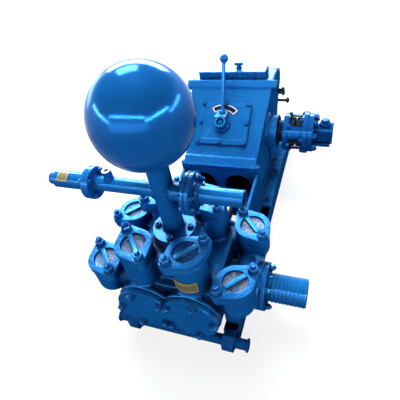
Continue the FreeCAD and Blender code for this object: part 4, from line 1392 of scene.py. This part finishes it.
@dataclass(frozen=True)
class Softbox:
    """A soft oblong lamp that faces the middle of the pump."""

    name: str
    place: Triple
    size: tuple[float, float]
    power: float
    mirrored: bool = True
    lighting: bool = True
    aim: Triple = (0.0, 0.3, 0.6)

    def hang(self) -> None:
        """Adds the lamp."""
        light = bpy.data.lights.new(self.name, "AREA")
        light.energy = self.power
        light.shape = "RECTANGLE"
        light.size, light.size_y = self.size
        lamp = linked(self.name, light)
        turn = (Vector(self.aim) - Vector(self.place)).to_track_quat("-Z", "Y")
        lamp.matrix_world = Matrix.Translation(self.place) @ turn.to_matrix().to_4x4()
        lamp.visible_glossy = self.mirrored
        lamp.visible_diffuse = self.lighting


@dataclass
class Studio:
    """The pale floor, the soft lamps and the camera at the photograph's viewing angle."""

    eye: Triple = (0.548, -0.8244, 1.5434)
    azimuth: float = -26.85
    elevation: float = -42.63
    roll: float = -12.18
    focal: float = 369.0 / 400.0
    sensor: float = 36.0
    floor_half: float = 30.0
    floor_colour: float = 0.22
    floor_glow: float = 0.82
    horizon: float = 1.1
    zenith: float = 0.06
    lamps: tuple[Softbox, ...] = (
        Softbox("rear_window", (-2.0, 4.8, 2.6), (5.0, 1.5), 540.0),
        Softbox("rear_softbox", (-2.4, 3.6, 5.2), (2.5, 2.0), 260.0),
        Softbox("top_softbox", (-0.2, 0.7, 3.5), (1.5, 1.5), 95.0, mirrored=False),
        Softbox("front_softbox", (0.8, -3.0, 2.6), (1.4, 1.4), 34.0, mirrored=False),
        Softbox("front_strip", (0.1, -4.1, 3.6), (6.9, 0.24), 130.0, lighting=False),
        Softbox("right_strip", (4.0, -1.6, 2.75), (4.6, 0.24), 120.0, lighting=False),
        Softbox("left_strip", (-4.2, -2.1, 2.5), (4.2, 0.22), 80.0, lighting=False),
        Softbox("front_wall", (0.2, -4.8, 2.1), (8.0, 1.6), 90.0, lighting=False),
        Softbox("right_rear_strip", (3.8, 1.75, 1.9), (3.2, 0.3), 45.0, lighting=False),
        Softbox("left_window", (-4.0, 2.0, 1.3), (2.4, 1.0), 30.0, lighting=False),
    )

    def build(self) -> None:
        """Adds the camera, the floor, the world and the lamps."""
        self.aim_camera()
        self.lay_floor()
        self.light_world()
        for lamp in self.lamps:
            lamp.hang()

    def aim_camera(self) -> None:
        """Places the camera that was solved from the photograph."""
        angles = (self.azimuth, self.elevation, self.roll)
        turn, rise, lean = (math.radians(angle) for angle in angles)
        level_share = math.cos(rise)
        ahead = Vector((math.sin(turn) * level_share, math.cos(turn) * level_share, math.sin(rise)))
        level = ahead.cross(Vector(Z_AXIS)).normalized()
        above = level.cross(ahead)
        right = math.cos(lean) * level + math.sin(lean) * above
        up = math.cos(lean) * above - math.sin(lean) * level
        lens = bpy.data.cameras.new("camera")
        lens.sensor_width = self.sensor
        lens.lens = self.focal * self.sensor
        lens.clip_end = 100.0
        camera = linked("camera", lens)
        basis = Matrix((right, up, -ahead)).transposed().to_4x4()
        camera.matrix_world = Matrix.Translation(self.eye) @ basis
        bpy.context.scene.camera = camera

    def lay_floor(self) -> None:
        """Lays a flat floor, white to the camera and in mirrors, that keeps the pump's shadow.

        Part of its white is lit by the lamps and so falls away in the shadow. The rest is a glow
        that camera, glossy and transmission rays see.
        """
        half = self.floor_half
        mesh = bpy.data.meshes.new("floor")
        corners = [(-half, -half, 0), (half, -half, 0), (half, half, 0), (-half, half, 0)]
        mesh.from_pydata(corners, [], [(0, 1, 2, 3)])
        floor = linked("floor", mesh)
        material = bpy.data.materials.new("floor_white")
        material.use_nodes = True
        tree = Tree(material.node_tree)
        path = tree.add("ShaderNodeLightPath").outputs
        seen = tree.plus(path["Is Camera Ray"], path["Is Glossy Ray"], path["Is Transmission Ray"],
                         clamp=True)
        place = tree.add("ShaderNodeTexCoord").outputs["Object"]
        away = tree.add("ShaderNodeVectorMath", {"operation": "LENGTH"}, Vector=place)
        far = tree.ramp(away.outputs["Value"], 2.5, 7.0)
        glow = tree.plus(tree.times(far, 1.0 - self.floor_glow), self.floor_glow)
        tree.fill(material.node_tree.nodes["Principled BSDF"], Roughness=0.9,
                  Base_Color=opaque((self.floor_colour,) * 3), Specular_IOR_Level=0.0,
                  Emission_Color=opaque(WHITE), Emission_Strength=tree.times(seen, glow))
        mesh.materials.append(material)

    def light_world(self) -> None:
        """Gives a plain sky that is white at the horizon and duller overhead."""
        world = bpy.data.worlds.new("studio")
        bpy.context.scene.world = world
        world.use_nodes = True
        tree = Tree(world.node_tree)
        rise = tree.height(tree.add("ShaderNodeTexCoord").outputs["Generated"])
        low, high = self.horizon, self.zenith
        colour = tree.blend(tree.ramp(rise, 0.12, 0.5), opaque((low, low, low)),
                            opaque((high * 0.92, high * 0.97, high)))
        tree.fill(world.node_tree.nodes["Background"], Color=colour, Strength=1.0)


def main() -> None:
    """Dresses the pump and sets the studio round it."""
    logging.basicConfig(level=logging.INFO, format="%(name)s: %(message)s")
    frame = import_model()
    bpy.context.scene.view_settings.view_transform = "Standard"
    Studio().build()
    shop = Workshop(frame["nodes"])
    for section in (ValveCovers, FluidEnd, PressureSide, Gearbox, Drive, PistonRods, Skid):
        section(shop).build()


if __name__ == "__main__":
    main()
